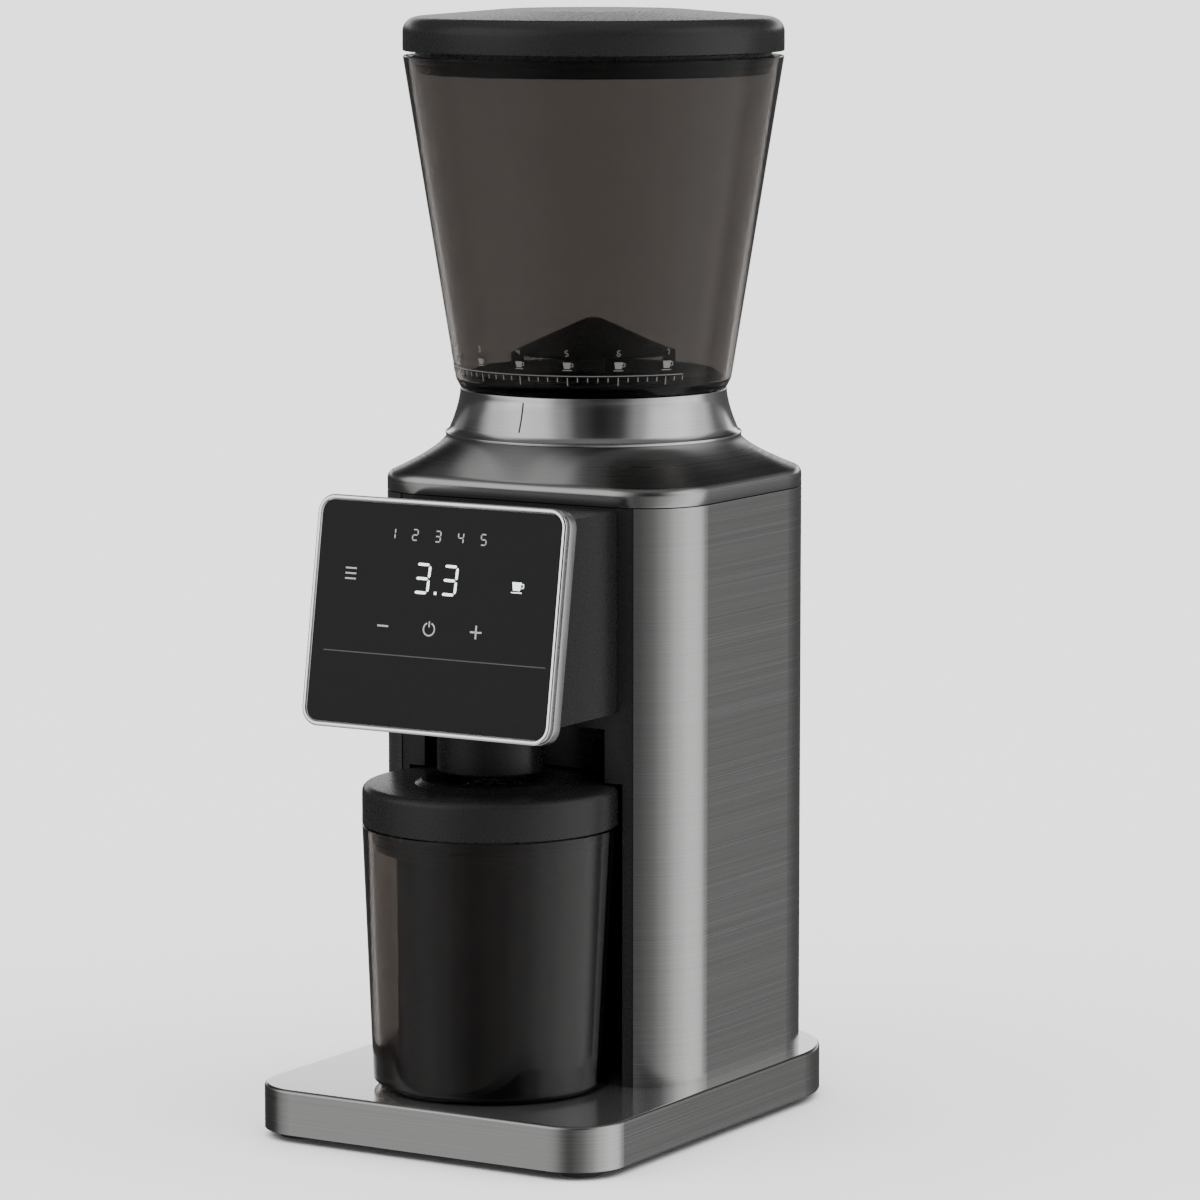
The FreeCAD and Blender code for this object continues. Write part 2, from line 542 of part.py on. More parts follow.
def control_panel():
    """Chrome bezel, silver surround with a back plate, touch glass, board and number display."""
    keep(on_panel(panel_ring("panel_bezel", "0", "bezel_width", "bezel_depth", "0")))
    band = panel_ring("panel_band", "0", "bezel_width", "panel_depth", "bezel_depth + panel_groove")
    neck = panel_ring("panel_step", "panel_groove", "bezel_width - panel_groove", "bezel_depth + panel_groove",
                      "bezel_depth")
    back = prism("panel_back", panel_outline("bezel_width"), "-panel_depth", "-board_back")
    ports = prism("panel_port", rounded("display_half_width", "-display_half_height", "display_half_height",
                                        "wall", "wall"), "-panel_depth - wall", "-board_back + wall")
    keep(on_panel(fused("panel_surround", band, neck, cut("panel_plate", back, ports))))
    glass = prism("touch_panel", panel_outline("(bezel_width + gap / 2)"), "-glass_recess - glass_thickness",
                  "-glass_recess")
    keep(on_panel(glass, "-glass_recess - glass_thickness"))
    board = prism("display_board", panel_outline("(bezel_width + wall)"), "-board_back",
                  "-board_back + board_thickness")
    keep(on_panel(board, "-board_back"))
    digits = prism("led_display", rounded("display_half_width", "display_lift - display_half_height",
                                          "display_lift + display_half_height", "gap", "gap"),
                   "-board_back + board_thickness", "-glass_recess - glass_thickness")
    keep(on_panel(digits, "-board_back + board_thickness"))


def spout():
    """Round outlet under the head, with a flange that sits on the head's floor."""
    keep(turned("spout", [
        ("spout_bore", "spout_bottom"), ("spout_radius - gap", "spout_bottom"),
        ("spout_radius - gap", "head_bottom + wall"), ("spout_flange_radius", "head_bottom + wall"),
        ("spout_flange_radius", "head_bottom + 2 * wall"), ("spout_bore", "head_bottom + 2 * wall")],
        y="container_y"))


def chute():
    """Rectangular duct from the grinding chamber, through the front panel, down into the spout."""
    front, inner = "container_y - spout_bore + wall", "column_front - 2 * wall"
    low, high = "chute_bottom - wall", "chute_bottom + chute_height"
    drop = "head_bottom + 2 * wall"
    outside = side_prism("chute_outside", [
        (front, drop), (inner, drop), (inner, low), ("burr_y - chamber_radius + wall", low),
        ("burr_y - chamber_radius + wall", high), (front, high)], "chute_half")
    inside = side_prism("chute_inside", [
        (f"{front} + wall", f"{drop} - wall"), (f"{inner} - wall", f"{drop} - wall"),
        (f"{inner} - wall", f"{low} + wall"), ("burr_y", f"{low} + wall"),
        ("burr_y", f"{high} - wall"), (f"{front} + wall", f"{high} - wall")], "chute_half - wall")
    drum = rod("chute_drum", "chamber_radius", "0", "neck_top", y="burr_y")
    keep(cut("chute", outside, inside, drum))


# ---- grinding unit ----------------------------------------------------------------------------------------

def grinding_chamber():
    """Cup round the burrs, with a port to the chute and key slots for the burr carrier."""
    cup = turned("chamber_cup", [
        ("bearing_radius", "chamber_floor"), ("chamber_radius", "chamber_floor"), ("chamber_radius", "chamber_top"),
        ("chamber_inner", "chamber_top"), ("chamber_inner", "chamber_floor + gearbox_lid"),
        ("bearing_radius", "chamber_floor + gearbox_lid")], y="burr_y")
    port = box("chamber_port", ("-chute_half + wall", "burr_y - chamber_radius - wall", "chute_bottom"),
               ("chute_half - wall", "burr_y - chamber_inner + wall", "chute_bottom + chute_height - wall"))
    keep(cut("grinding_chamber", cup, port))


def burrs():
    """Conical burr on the shaft inside a ring burr held by the keyed carrier."""
    slope = "(inner_burr_foot - inner_burr_head) / (inner_burr_top - inner_burr_bottom)"
    cone = turned("cone_blank", [
        ("shaft_radius", "inner_burr_bottom"), ("inner_burr_foot", "inner_burr_bottom"),
        ("inner_burr_head", "inner_burr_top"), ("shaft_radius", "inner_burr_top")], y="burr_y")
    lean = -math.degrees(math.atan(number(slope)))
    count = int(number("flute_count"))
    flutes = [spoke(f"flute_{index}", "inner_burr_foot", "flute_width", "inner_burr_bottom - flute_depth",
                    "inner_burr_top + inner_burr_foot", "inner_burr_foot - flute_depth / 2", 360 * index / count,
                    y="burr_y", lean=lean) for index in range(count)]
    keep(cut("inner_burr", cone, *flutes))
    keep(turned("ring_burr", [
        (f"inner_burr_foot + burr_relief - {slope} * (ring_burr_bottom - inner_burr_bottom)", "ring_burr_bottom"),
        ("ring_burr_outer", "ring_burr_bottom"), ("ring_burr_outer", "ring_burr_top"),
        (f"inner_burr_foot + burr_relief - {slope} * (ring_burr_top - inner_burr_bottom)", "ring_burr_top")],
        y="burr_y"))
    keep(turned("burr_carrier", [
        ("ring_burr_outer", "carrier_bottom"), ("carrier_outer", "carrier_bottom"), ("carrier_outer", "carrier_top"),
        ("carrier_outer - wall", "carrier_top"), ("carrier_outer - 2 * wall", "ring_burr_top"),
        ("ring_burr_outer", "ring_burr_top")], y="burr_y"))


def drive_shaft():
    """Steel shaft with its nut, impeller and plain bearings."""
    keep(rod("drive_shaft", "shaft_radius", "shaft_bottom", "shaft_top", y="burr_y"), "drive_shaft")
    keep(turned("burr_nut", [
        ("shaft_radius", "inner_burr_top"), ("nut_radius", "inner_burr_top"),
        ("nut_radius", "inner_burr_top + nut_height - gap"), ("nut_radius - 2 * gap", "inner_burr_top + nut_height"),
        ("shaft_radius", "inner_burr_top + nut_height")], y="burr_y"))
    disc = turned("impeller_disc", [
        ("shaft_radius", "impeller_bottom"), ("impeller_radius", "impeller_bottom"),
        ("impeller_radius", "impeller_bottom + impeller_disc"), ("nut_radius + wall", "impeller_bottom + impeller_disc"),
        ("nut_radius + wall", "inner_burr_bottom"), ("shaft_radius", "inner_burr_bottom")], y="burr_y")
    paddles = [spoke(f"paddle_{index}", "impeller_radius - paddle_start - gap", "paddle_width",
                     "impeller_bottom + impeller_disc", "impeller_bottom + impeller_disc + paddle_height",
                     "paddle_start", 60 * index, y="burr_y") for index in range(6)]
    keep(fused("impeller", disc, *paddles))


def bearings():
    """Plain bushes for the shaft and the rubber seal under the impeller."""
    keep(tube("lower_bearing", "shaft_radius + running", "bearing_radius", "gearbox_floor + gearbox_wall",
              "gearbox_floor + gearbox_wall + bearing_height / 2 + gap", y="burr_y"))
    keep(tube("upper_bearing", "shaft_radius + running", "bearing_radius", "gearbox_rim - bearing_height",
              "chamber_floor", y="burr_y"))
    keep(tube("shaft_seal", "shaft_radius + running", "bearing_radius", "chamber_floor",
              "chamber_floor + gearbox_lid + gap", y="burr_y"))


def adjusting_ring():
    """Ring turned by the hopper: a flange in the neck and a threaded tube that lifts the carrier."""
    keep(turned("adjusting_ring", [
        ("ring_tube_inner", "ring_tube_bottom"), ("ring_tube_outer", "ring_tube_bottom"),
        ("ring_tube_outer", "ring_bottom"), ("ring_outer", "ring_bottom"), ("ring_outer", "ring_top"),
        ("ring_outer - wall", "ring_top"), ("ring_outer - wall", "ring_bottom + ring_flange"),
        ("ring_tube_inner", "ring_bottom + ring_flange")], y="burr_y"))


# ---- gearbox ----------------------------------------------------------------------------------------------

def gear_flank(teeth, module):
    """Half a tooth as (radius, half angle) pairs, from root to tip, on an involute of the base circle."""
    pitch = teeth * module / 2
    base = pitch * math.cos(math.radians(number("pressure_angle")))
    tip, root = pitch + number("addendum") * module, pitch - number("dedendum") * module
    half = (math.pi * module / 2 - number("backlash") / 2) / (2 * pitch)

    def involute(radius):
        slant = math.acos(min(base / radius, 1))
        return math.tan(slant) - slant
    lift = half + involute(pitch)
    radii = [max(base, root) + (tip - max(base, root)) * step / 3 for step in range(4)]
    flank = [(radius, lift - involute(radius)) for radius in radii]
    return ([(root, lift)] if root < base else []) + flank


def gear(teeth, module, bottom, height, first_tooth, x, y, bore):
    """A spur gear with straight-sided involute flanks; first_tooth is the angle of one tooth's middle."""
    points = []
    for tooth in range(teeth):
        middle = first_tooth + 2 * math.pi * tooth / teeth
        flank = gear_flank(teeth, module)
        for radius, half in [(r, -a) for r, a in flank] + [(r, a) for r, a in reversed(flank)]:
            points.append(FreeCAD.Vector(x + radius * math.cos(middle + half), y + radius * math.sin(middle + half),
                                         bottom))
    solid = Part.Face(Part.makePolygon(points + points[:1])).extrude(FreeCAD.Vector(0, 0, height))
    if not bore:
        return solid
    return solid.cut(Part.makeCylinder(bore, height, FreeCAD.Vector(x, y, bottom)))


def hub(x, y, bottom, top, radius, bore):
    """A round hub with a bore."""
    place_at = FreeCAD.Vector(x, y, bottom)
    return Part.makeCylinder(radius, top - bottom, place_at).cut(Part.makeCylinder(bore, top - bottom, place_at))


def gears():
    """Output wheel on the shaft, compound idler on its pin, and the motor's pinion, all in mesh at rest."""
    burr_y, teeth, small = number("burr_y"), int(number("wheel_teeth")), int(number("pinion_teeth"))
    idler = (number("idler_x"), burr_y + number("idler_y"))
    motor = (number("motor_x"), burr_y + number("motor_y"))
    slow_bottom, slow_height = number("slow_wheel_bottom"), number("slow_wheel_height")
    fast_bottom, fast_height = number("fast_wheel_bottom"), number("fast_wheel_height")
    to_idler = math.atan2(idler[1] - burr_y, idler[0])
    to_motor = math.atan2(motor[1] - idler[1], motor[0] - idler[0])
    half_pitch = math.pi / small
    shaft, pin = number("shaft_radius"), number("idler_pin + running")

    wheel = doc.addObject("Part::Feature", "output_gear")
    wheel.Shape = gear(teeth, number("slow_module"), slow_bottom, slow_height, to_idler, 0, burr_y, shaft)
    keep(wheel)
    cluster = doc.addObject("Part::Feature", "idler_gear")
    slow_pinion = gear(small, number("slow_module"), fast_bottom + fast_height, slow_bottom + slow_height + 1
                       - fast_bottom - fast_height, to_idler + math.pi + half_pitch, *idler, pin)
    fast_wheel = gear(teeth, number("fast_module"), fast_bottom, fast_height, to_motor, *idler, pin)
    cluster.Shape = fast_wheel.fuse(slow_pinion).removeSplitter()
    keep(cluster)
    pinion = doc.addObject("Part::Feature", "motor_pinion")
    pinion.Shape = gear(small, number("fast_module"), fast_bottom - 1, fast_height + 2,
                        to_motor + math.pi + half_pitch, *motor, number("motor_shaft"))
    keep(pinion)
    keep(rod("idler_pin", "idler_pin", "gearbox_floor", "gearbox_rim + gearbox_lid", "idler_x", "burr_y + idler_y"))


def gearbox_outline(inset="0"):
    left, right = f"(gearbox_left + {inset})", f"(gearbox_right - {inset})"
    front, back, corner = f"(gearbox_front + {inset})", f"(gearbox_back - {inset})", f"(gearbox_corner - {inset})"
    return [
        (f"{left} + {corner}", front), (f"{right} - {corner}", front, corner),
        (right, f"{front} + {corner}"), (right, f"{back} - {corner}", corner),
        (f"{right} - {corner}", back), (f"{left} + {corner}", back, corner),
        (left, f"{back} - {corner}"), (left, f"{front} + {corner}", corner),
    ]


def gearbox():
    """Gearbox tub, its lid under the grinding chamber, and the screws."""
    block = prism("gearbox_block", gearbox_outline(), "gearbox_floor", "gearbox_rim")
    hollow = prism("gearbox_hollow", gearbox_outline("gearbox_wall"), "gearbox_floor + gearbox_wall",
                   "gearbox_rim + wall")
    entry = rod("gearbox_entry", "motor_shaft + wall", "0", "gearbox_rim", "motor_x", "burr_y + motor_y")
    pin_hole = rod("gearbox_pin_hole", "idler_pin", "0", "gearbox_rim", "idler_x", "burr_y + idler_y")
    keep(cut("gearbox_housing", block, hollow, entry, pin_hole))
    lid = prism("gearbox_plate", gearbox_outline(), "gearbox_rim", "gearbox_rim + gearbox_lid")
    seat = rod("gearbox_seat", "chamber_radius - wall", "gearbox_rim + gearbox_lid", "chamber_floor", y="burr_y")
    centre = rod("gearbox_centre", "bearing_radius", "0", "neck_top", y="burr_y")
    lid_pin = rod("gearbox_lid_pin", "idler_pin", "0", "neck_top", "idler_x", "burr_y + idler_y")
    corners = [(x, y) for x in ("gearbox_left + gearbox_corner / 2", "gearbox_right - gearbox_corner / 2")
               for y in ("gearbox_front + gearbox_corner / 2", "gearbox_back - gearbox_corner / 2")]
    keep(cut("gearbox_cover", fused("gearbox_top", lid, seat), centre, lid_pin))
    heads = [rod(f"gearbox_screw_{index}", "screw_head / 2", "gearbox_rim + gearbox_lid",
                 "gearbox_rim + gearbox_lid + screw_head_height", x, y) for index, (x, y) in enumerate(corners)]
    keep(group("gearbox_screws", *heads))


# ---- motor ------------------------------------------------------------------------------------------------

MOTOR = {"x": "motor_x", "y": "burr_y + motor_y"}


def motor():
    """Upright motor: can, magnets, end cap, armature on its shaft, fan and rubber mount."""
    bore = "(motor_shaft + running)"
    keep(turned("motor_can", [
        (bore, "motor_top"), (bore, "motor_top - 2 * motor_wall"),
        ("motor_radius - motor_wall", "motor_top - 2 * motor_wall"), ("motor_radius - motor_wall", "motor_bottom"),
        ("motor_radius", "motor_bottom"), ("motor_radius", "motor_top")], **MOTOR))
    keep(turned("motor_end_cap", [
        (bore, "motor_bottom - 2 * motor_wall"), ("motor_radius", "motor_bottom - 2 * motor_wall"),
        ("motor_radius", "motor_bottom"), (bore, "motor_bottom")], **MOTOR))
    ring = tube("magnet_ring", "magnet_inner", "motor_radius - motor_wall", "armature_bottom", "armature_top",
                **MOTOR)
    split = box("magnet_split", ("motor_x - magnet_gap", "burr_y", "armature_bottom - wall"),
                ("motor_x + magnet_gap", "burr_y + 2 * motor_y", "armature_top + wall"))
    keep(cut("motor_magnets", ring, split))
    shaft = rod("armature_shaft", "motor_shaft", "motor_shaft_bottom", "motor_shaft_top", **MOTOR)
    core = rod("armature_core", "armature_radius", "armature_bottom", "armature_top", **MOTOR)
    slots = [spoke(f"armature_slot_{index}", "armature_radius", "wall", "armature_bottom - wall",
                   "armature_top + wall", "armature_radius * 0.7", 72 * index, **MOTOR) for index in range(5)]
    keep(fused("armature", shaft, cut("armature_slotted", core, *slots)))
    hub_ring = tube("fan_hub", "motor_shaft", "3 * motor_shaft", "motor_shaft_bottom",
                    "motor_shaft_bottom + fan_height", **MOTOR)
    plate = tube("fan_plate", "motor_shaft", "fan_radius", "motor_shaft_bottom",
                 "motor_shaft_bottom + motor_wall", **MOTOR)
    count = int(number("fan_blades"))
    blades = [spoke(f"fan_blade_{index}", "fan_radius - 3 * motor_shaft", "motor_wall", "motor_shaft_bottom",
                    "motor_shaft_bottom + fan_height", "2.7 * motor_shaft", 360 * index / count, **MOTOR)
              for index in range(count)]
    keep(fused("cooling_fan", hub_ring, plate, *blades))
    keep(tube("motor_mount", "motor_boss", "rubber_radius", "motor_top", "shelf_bottom", **MOTOR))


def power_board():
    """Circuit board on the left wall with its transformer and capacitors."""
    plate = box("power_plate", ("board_x", "board_y", "board_z"),
                ("board_x + board_thickness", "board_y + board_length", "board_z + board_tall"))
    coil = box("power_coil", ("board_x + board_thickness", "board_y + wall", "board_z + wall"),
               ("board_x + board_thickness + transformer", "board_y + wall + transformer",
                "board_z + wall + transformer"))
    cans = [rod(f"power_can_{index}", "capacitor_radius", "board_z + transformer * 1.6",
                "board_z + transformer * 1.6 + capacitor_height", "board_x + board_thickness + capacitor_radius - gap",
                f"board_y + transformer / 2 + {index} * 2.3 * capacitor_radius") for index in range(2)]
    keep(fused("power_board", plate, coil, *cans))


# ---- hopper -----------------------------------------------------------------------------------------------

def hopper():
    """Smoked bean hopper on a spigot, with its dark floor and the finger guard over the burrs."""
    keep(turned("hopper", [
        ("hopper_spigot_outer - wall", "hopper_spigot_bottom"), ("hopper_spigot_outer - gap", "hopper_spigot_bottom"),
        ("hopper_spigot_outer - gap", "hopper_bottom"), ("hopper_foot_radius", "hopper_bottom"),
        ("hopper_chamfer_radius", "hopper_chamfer_top"), ("hopper_rim_radius", "hopper_top"),
        ("hopper_rim_radius - hopper_wall", "hopper_top"), ("hopper_chamfer_radius - hopper_wall",
                                                            "hopper_chamfer_top"),
        ("hopper_foot_radius - hopper_wall", "hopper_bottom + hopper_wall"),
        ("hopper_spigot_outer - wall", "hopper_bottom + hopper_wall")], y="burr_y"))
    keep(turned("hopper_floor", [
        ("hopper_throat", "hopper_bottom"), ("hopper_spigot_outer - wall", "hopper_bottom"),
        ("hopper_spigot_outer - wall", "hopper_bottom + hopper_wall"),
        ("hopper_foot_radius - hopper_wall - gap", "hopper_bottom + hopper_wall"),
        ("hopper_foot_radius - hopper_wall", "hopper_floor_top - wall"),
        ("hopper_throat + wall", "hopper_floor_top"), ("hopper_throat", "hopper_floor_top")], y="burr_y"))
    cone = turned("guard_cone", [
        ("guard_rim_radius - guard_wall", "guard_rim_bottom"), ("guard_rim_radius", "guard_rim_bottom"),
        ("guard_rim_radius", "guard_rim_top"), ("guard_tip_radius", "guard_top"), ("0", "guard_top"),
        ("0", "guard_top - guard_wall"), ("guard_rim_radius - guard_wall", "guard_rim_top - guard_wall")],
        y="burr_y")
    legs = [spoke(f"guard_leg_{index}", "guard_leg", "guard_leg", "hopper_floor_top", "guard_rim_top - 4 * gap",
                  "guard_leg_start", 90 * index + 45, y="burr_y") for index in range(4)]
    keep(fused("bean_guard", cone, *legs))


def hopper_lid():
    """Domed lid with a plug that carries its seal."""
    keep(turned("hopper_lid", [
        ("lid_plug_radius - lid_wall", "lid_plug_bottom"), ("lid_plug_radius", "lid_plug_bottom"),
        ("lid_plug_radius", "lid_bottom"), ("lid_radius", "lid_bottom"), ("lid_radius", "lid_side_top"),
        ("lid_radius - 1.6 * gap", "lid_side_top + 2"), ("lid_radius - 1.8", "lid_side_top + 3.7"),
        ("lid_dome_radius", "lid_dome_z"), ("lid_dome_radius / 2", "lid_top - 0.75"), ("0", "lid_top"),
        ("0", "lid_top - lid_wall"), ("lid_dome_radius", "lid_dome_z - lid_wall"),
        ("lid_plug_radius - lid_wall", "lid_side_top")], y="burr_y"))
    keep(tube("hopper_lid_seal", "lid_plug_radius", "lid_seal_radius", "lid_seal_bottom",
              "lid_seal_bottom + lid_seal_height", y="burr_y"))


def hopper_switch():
    """Micro switch under the shoulder that senses the hopper."""
    keep(box("hopper_switch", ("-switch_width / 2", "burr_y + ring_tube_outer + wall", "ring_tube_bottom"),
             ("switch_width / 2", "burr_y + ring_tube_outer + wall + switch_depth",
              "ring_tube_bottom + switch_height")))


# ---- grounds container ------------------------------------------------------------------------------------

def container():
    """Smoked container for the ground coffee, its lid with the filling hole, and the lid's seal."""
    keep(turned("container", [
        ("0", "container_bottom"), ("container_foot_radius - wall", "container_bottom"),
        ("container_foot_radius", "container_bottom + wall"), ("container_radius", "container_top"),
        ("container_radius - container_wall", "container_top"),
        ("container_foot_radius - container_wall", "container_bottom + container_wall"),
        ("0", "container_bottom + container_wall")], y="container_y"))
    keep(turned("container_lid", [
        ("lid_skirt - wall", "lid_skirt_bottom"), ("lid_skirt", "lid_skirt_bottom"),
        ("lid_skirt", "container_lid_bottom"), ("container_radius", "container_lid_bottom"),
        ("container_radius", "container_lid_side"), ("container_radius - gap * 3", "container_lid_side + 1.8"),
        ("container_lid_edge", "container_lid_top"), ("lid_collar", "container_lid_top"),
        ("lid_collar", "lid_collar_top"), ("lid_hole", "lid_collar_top"),
        ("lid_hole", "container_lid_top - wall"), ("lid_skirt - wall", "container_lid_top - wall")],
        y="container_y"))
    keep(tube("container_lid_seal", "lid_skirt", "ring_seal", "ring_seal_bottom",
              "ring_seal_bottom + ring_seal_height", y="container_y"))


# ---- write ------------------------------------------------------------------------------------------------

def check(piece):
    """Stop on a failed feature or an unsound solid."""
    broken = [other.Name for other in doc.Objects if {"Invalid", "Error"} & set(other.State)]
    if broken:
        raise SystemExit(f"failed features: {broken}")
    if piece.Shape.isNull() or not piece.Shape.isValid() or not piece.Shape.Solids:
        raise SystemExit(f"unsound shape: {piece.Label}")


def main():
    for make in (base_cover, base_chassis, feet, base_screws, steel_wrap, front_panel, inner_frame, rear_cover,
                 cord_gland, top_cap, neck_ring, head_housing, control_panel, spout, chute, grinding_chamber,
                 burrs, drive_shaft, bearings, adjusting_ring, gears, gearbox, motor, power_board, hopper,
                 hopper_lid, hopper_switch, container):
        make()
    doc.recompute()
    os.makedirs("parts", exist_ok=True)
    for piece in PARTS:
        check(piece)
        piece.Shape.exportStep(os.path.join("parts", f"{piece.Label}.step"))
        print(f"{piece.Label:22s} solids {len(piece.Shape.Solids)} volume {piece.Shape.Volume:10.1f}",
              [round(v, 1) for v in (piece.Shape.BoundBox.XMin, piece.Shape.BoundBox.YMin, piece.Shape.BoundBox.ZMin,
                                     piece.Shape.BoundBox.XMax, piece.Shape.BoundBox.YMax,
                                     piece.Shape.BoundBox.ZMax)])


main()
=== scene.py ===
import json
import math

import bmesh
import bpy
from mathutils import Matrix, Vector


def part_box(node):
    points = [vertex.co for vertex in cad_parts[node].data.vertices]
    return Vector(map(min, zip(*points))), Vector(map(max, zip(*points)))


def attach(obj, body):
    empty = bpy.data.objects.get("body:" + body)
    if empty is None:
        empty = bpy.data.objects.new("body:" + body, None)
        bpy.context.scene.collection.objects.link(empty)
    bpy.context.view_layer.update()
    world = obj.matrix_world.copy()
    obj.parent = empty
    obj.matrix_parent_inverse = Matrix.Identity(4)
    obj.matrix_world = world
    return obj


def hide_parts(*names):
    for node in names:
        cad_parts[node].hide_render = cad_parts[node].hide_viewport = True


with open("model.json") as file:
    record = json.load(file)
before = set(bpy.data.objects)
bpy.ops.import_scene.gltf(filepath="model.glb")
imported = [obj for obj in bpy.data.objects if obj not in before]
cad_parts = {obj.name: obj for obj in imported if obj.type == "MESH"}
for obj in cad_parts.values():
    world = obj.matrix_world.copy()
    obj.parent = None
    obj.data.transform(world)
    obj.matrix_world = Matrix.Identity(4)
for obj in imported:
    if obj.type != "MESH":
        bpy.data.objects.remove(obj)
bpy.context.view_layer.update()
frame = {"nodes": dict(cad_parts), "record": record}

MM = 0.001

# ---- sizes, in millimetres, in the frame of the CAD model ----------------------------------------

X, Y, Z = range(3)


def span(node, axis):
    """A node's lowest and highest place along an axis, at rest."""
    return [round(corner[axis] / MM, 2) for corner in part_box(node)]


BURR_Y = sum(span("hopper", Y)) / 2
CONTAINER_Y = sum(span("container", Y)) / 2
HOPPER_FOOT, HOPPER_FOOT_RADIUS = 260.0, 48.7
HOPPER_RIM, HOPPER_RIM_RADIUS = span("hopper", Z)[1], span("hopper", X)[1]
NECK_LOW, NECK_HIGH = span("neck_ring", Z)
NECK_FOOT_RADIUS, NECK_MOUTH_RADIUS = span("neck_ring", X)[1], 47.1
PANEL_CENTRE = Vector((0.0, -81.4, 186.1))
PANEL_TILT = math.radians(9.2)
PANEL_HALF_WIDTH, PANEL_HALF_HEIGHT = span("panel_bezel", X)[1], 39.9
COLUMN_HALF = span("top_cap", X)[1]
COLUMN_FRONT, COLUMN_BACK = span("top_cap", Y)
COLUMN_FRONT_CORNER, COLUMN_REAR_CORNER = 25.4, 36.0
COLUMN_TOP = span("top_cap", Z)[0]
WELD_DISTANCE = 1e-7  # metres


# ---- materials -----------------------------------------------------------------------------------

def new_material(name, colour, roughness, metallic=0.0, **sockets):
    """A Principled material with its uniform values set on the shader's own sockets."""
    material = bpy.data.materials.new(name)
    material.use_nodes = True
    shader = material.node_tree.nodes["Principled BSDF"]
    shader.inputs["Base Color"].default_value = (*colour, 1.0)
    shader.inputs["Roughness"].default_value = roughness
    shader.inputs["Metallic"].default_value = metallic
    for socket, value in sockets.items():
        shader.inputs[socket.replace("_", " ")].default_value = value
    return material


def add_noise(material, stretch, detail=3.0):
    """Noise on the object's own coordinates, stretched by a scale for each axis."""
    nodes, links = material.node_tree.nodes, material.node_tree.links
    place = nodes.new("ShaderNodeTexCoord")
    mapping = nodes.new("ShaderNodeMapping")
    mapping.inputs["Scale"].default_value = stretch
    noise = nodes.new("ShaderNodeTexNoise")
    noise.inputs["Scale"].default_value = 1.0
    noise.inputs["Detail"].default_value = detail
    links.new(place.outputs["Object"], mapping.inputs["Vector"])
    links.new(mapping.outputs["Vector"], noise.inputs["Vector"])
    return noise


def add_bump(material, source, strength, distance):
    """Drive the surface's normal from noise; the distance is in metres."""
    nodes, links = material.node_tree.nodes, material.node_tree.links
    bump = nodes.new("ShaderNodeBump")
    bump.inputs["Strength"].default_value = strength
    bump.inputs["Distance"].default_value = distance
    links.new(source.outputs["Fac"], bump.inputs["Height"])
    links.new(bump.outputs["Normal"], nodes["Principled BSDF"].inputs["Normal"])


def add_range(material, source, socket, low, high):
    """Drive a socket from noise, between two values or two colours."""
    nodes, links = material.node_tree.nodes, material.node_tree.links
    ramp = nodes.new("ShaderNodeValToRGB")
    for element, value in zip(ramp.color_ramp.elements, (low, high)):
        element.color = (*value, 1.0) if isinstance(value, tuple) else (value, value, value, 1.0)
    ramp.color_ramp.elements[0].position = 0.3
    ramp.color_ramp.elements[1].position = 0.7
    links.new(source.outputs["Fac"], ramp.inputs["Fac"])
    links.new(ramp.outputs["Color"], nodes["Principled BSDF"].inputs[socket])


def brushed(name, colour, roughness, stretch, spread=0.04, bump=0.05, contrast=0.07, metallic=1.0):
    """Metal with fine brush lines along the axes whose stretch is small."""
    material = new_material(name, colour, roughness, metallic)
    noise = add_noise(material, stretch, 4.0)
    add_bump(material, noise, bump, 0.00006)
    add_range(material, noise, "Roughness", roughness - spread, roughness + spread)
    darker = tuple(c * (1 - contrast) for c in colour)
    lighter = tuple(min(c * (1 + contrast), 1.0) for c in colour)
    add_range(material, noise, "Base Color", darker, lighter)
    return material


def moulded(name, colour, roughness, grain=900.0, bump=0.05, **sockets):
    """Moulded plastic with a fine grain in its surface and its gloss."""
    material = new_material(name, colour, roughness, **sockets)
    noise = add_noise(material, (grain, grain, grain))
    add_bump(material, noise, bump, 0.00005)
    add_range(material, noise, "Roughness", max(roughness - 0.04, 0.02), roughness + 0.05)
    return material


def smoked(name, colour, **sockets):
    """Clear smoked plastic with the faint waviness of a moulding."""
    material = new_material(name, colour, 0.04, Transmission_Weight=1.0, IOR=1.22, **sockets)
    noise = add_noise(material, (14.0, 14.0, 5.0), 1.0)
    add_bump(material, noise, 0.05, 0.0004)
    return material


def glowing(name, colour, strength):
    """A material that gives off its own light."""
    material = new_material(name, colour, 0.4, Emission_Strength=strength)
    material.node_tree.nodes["Principled BSDF"].inputs["Emission Color"].default_value = (*colour, 1.0)
    return material


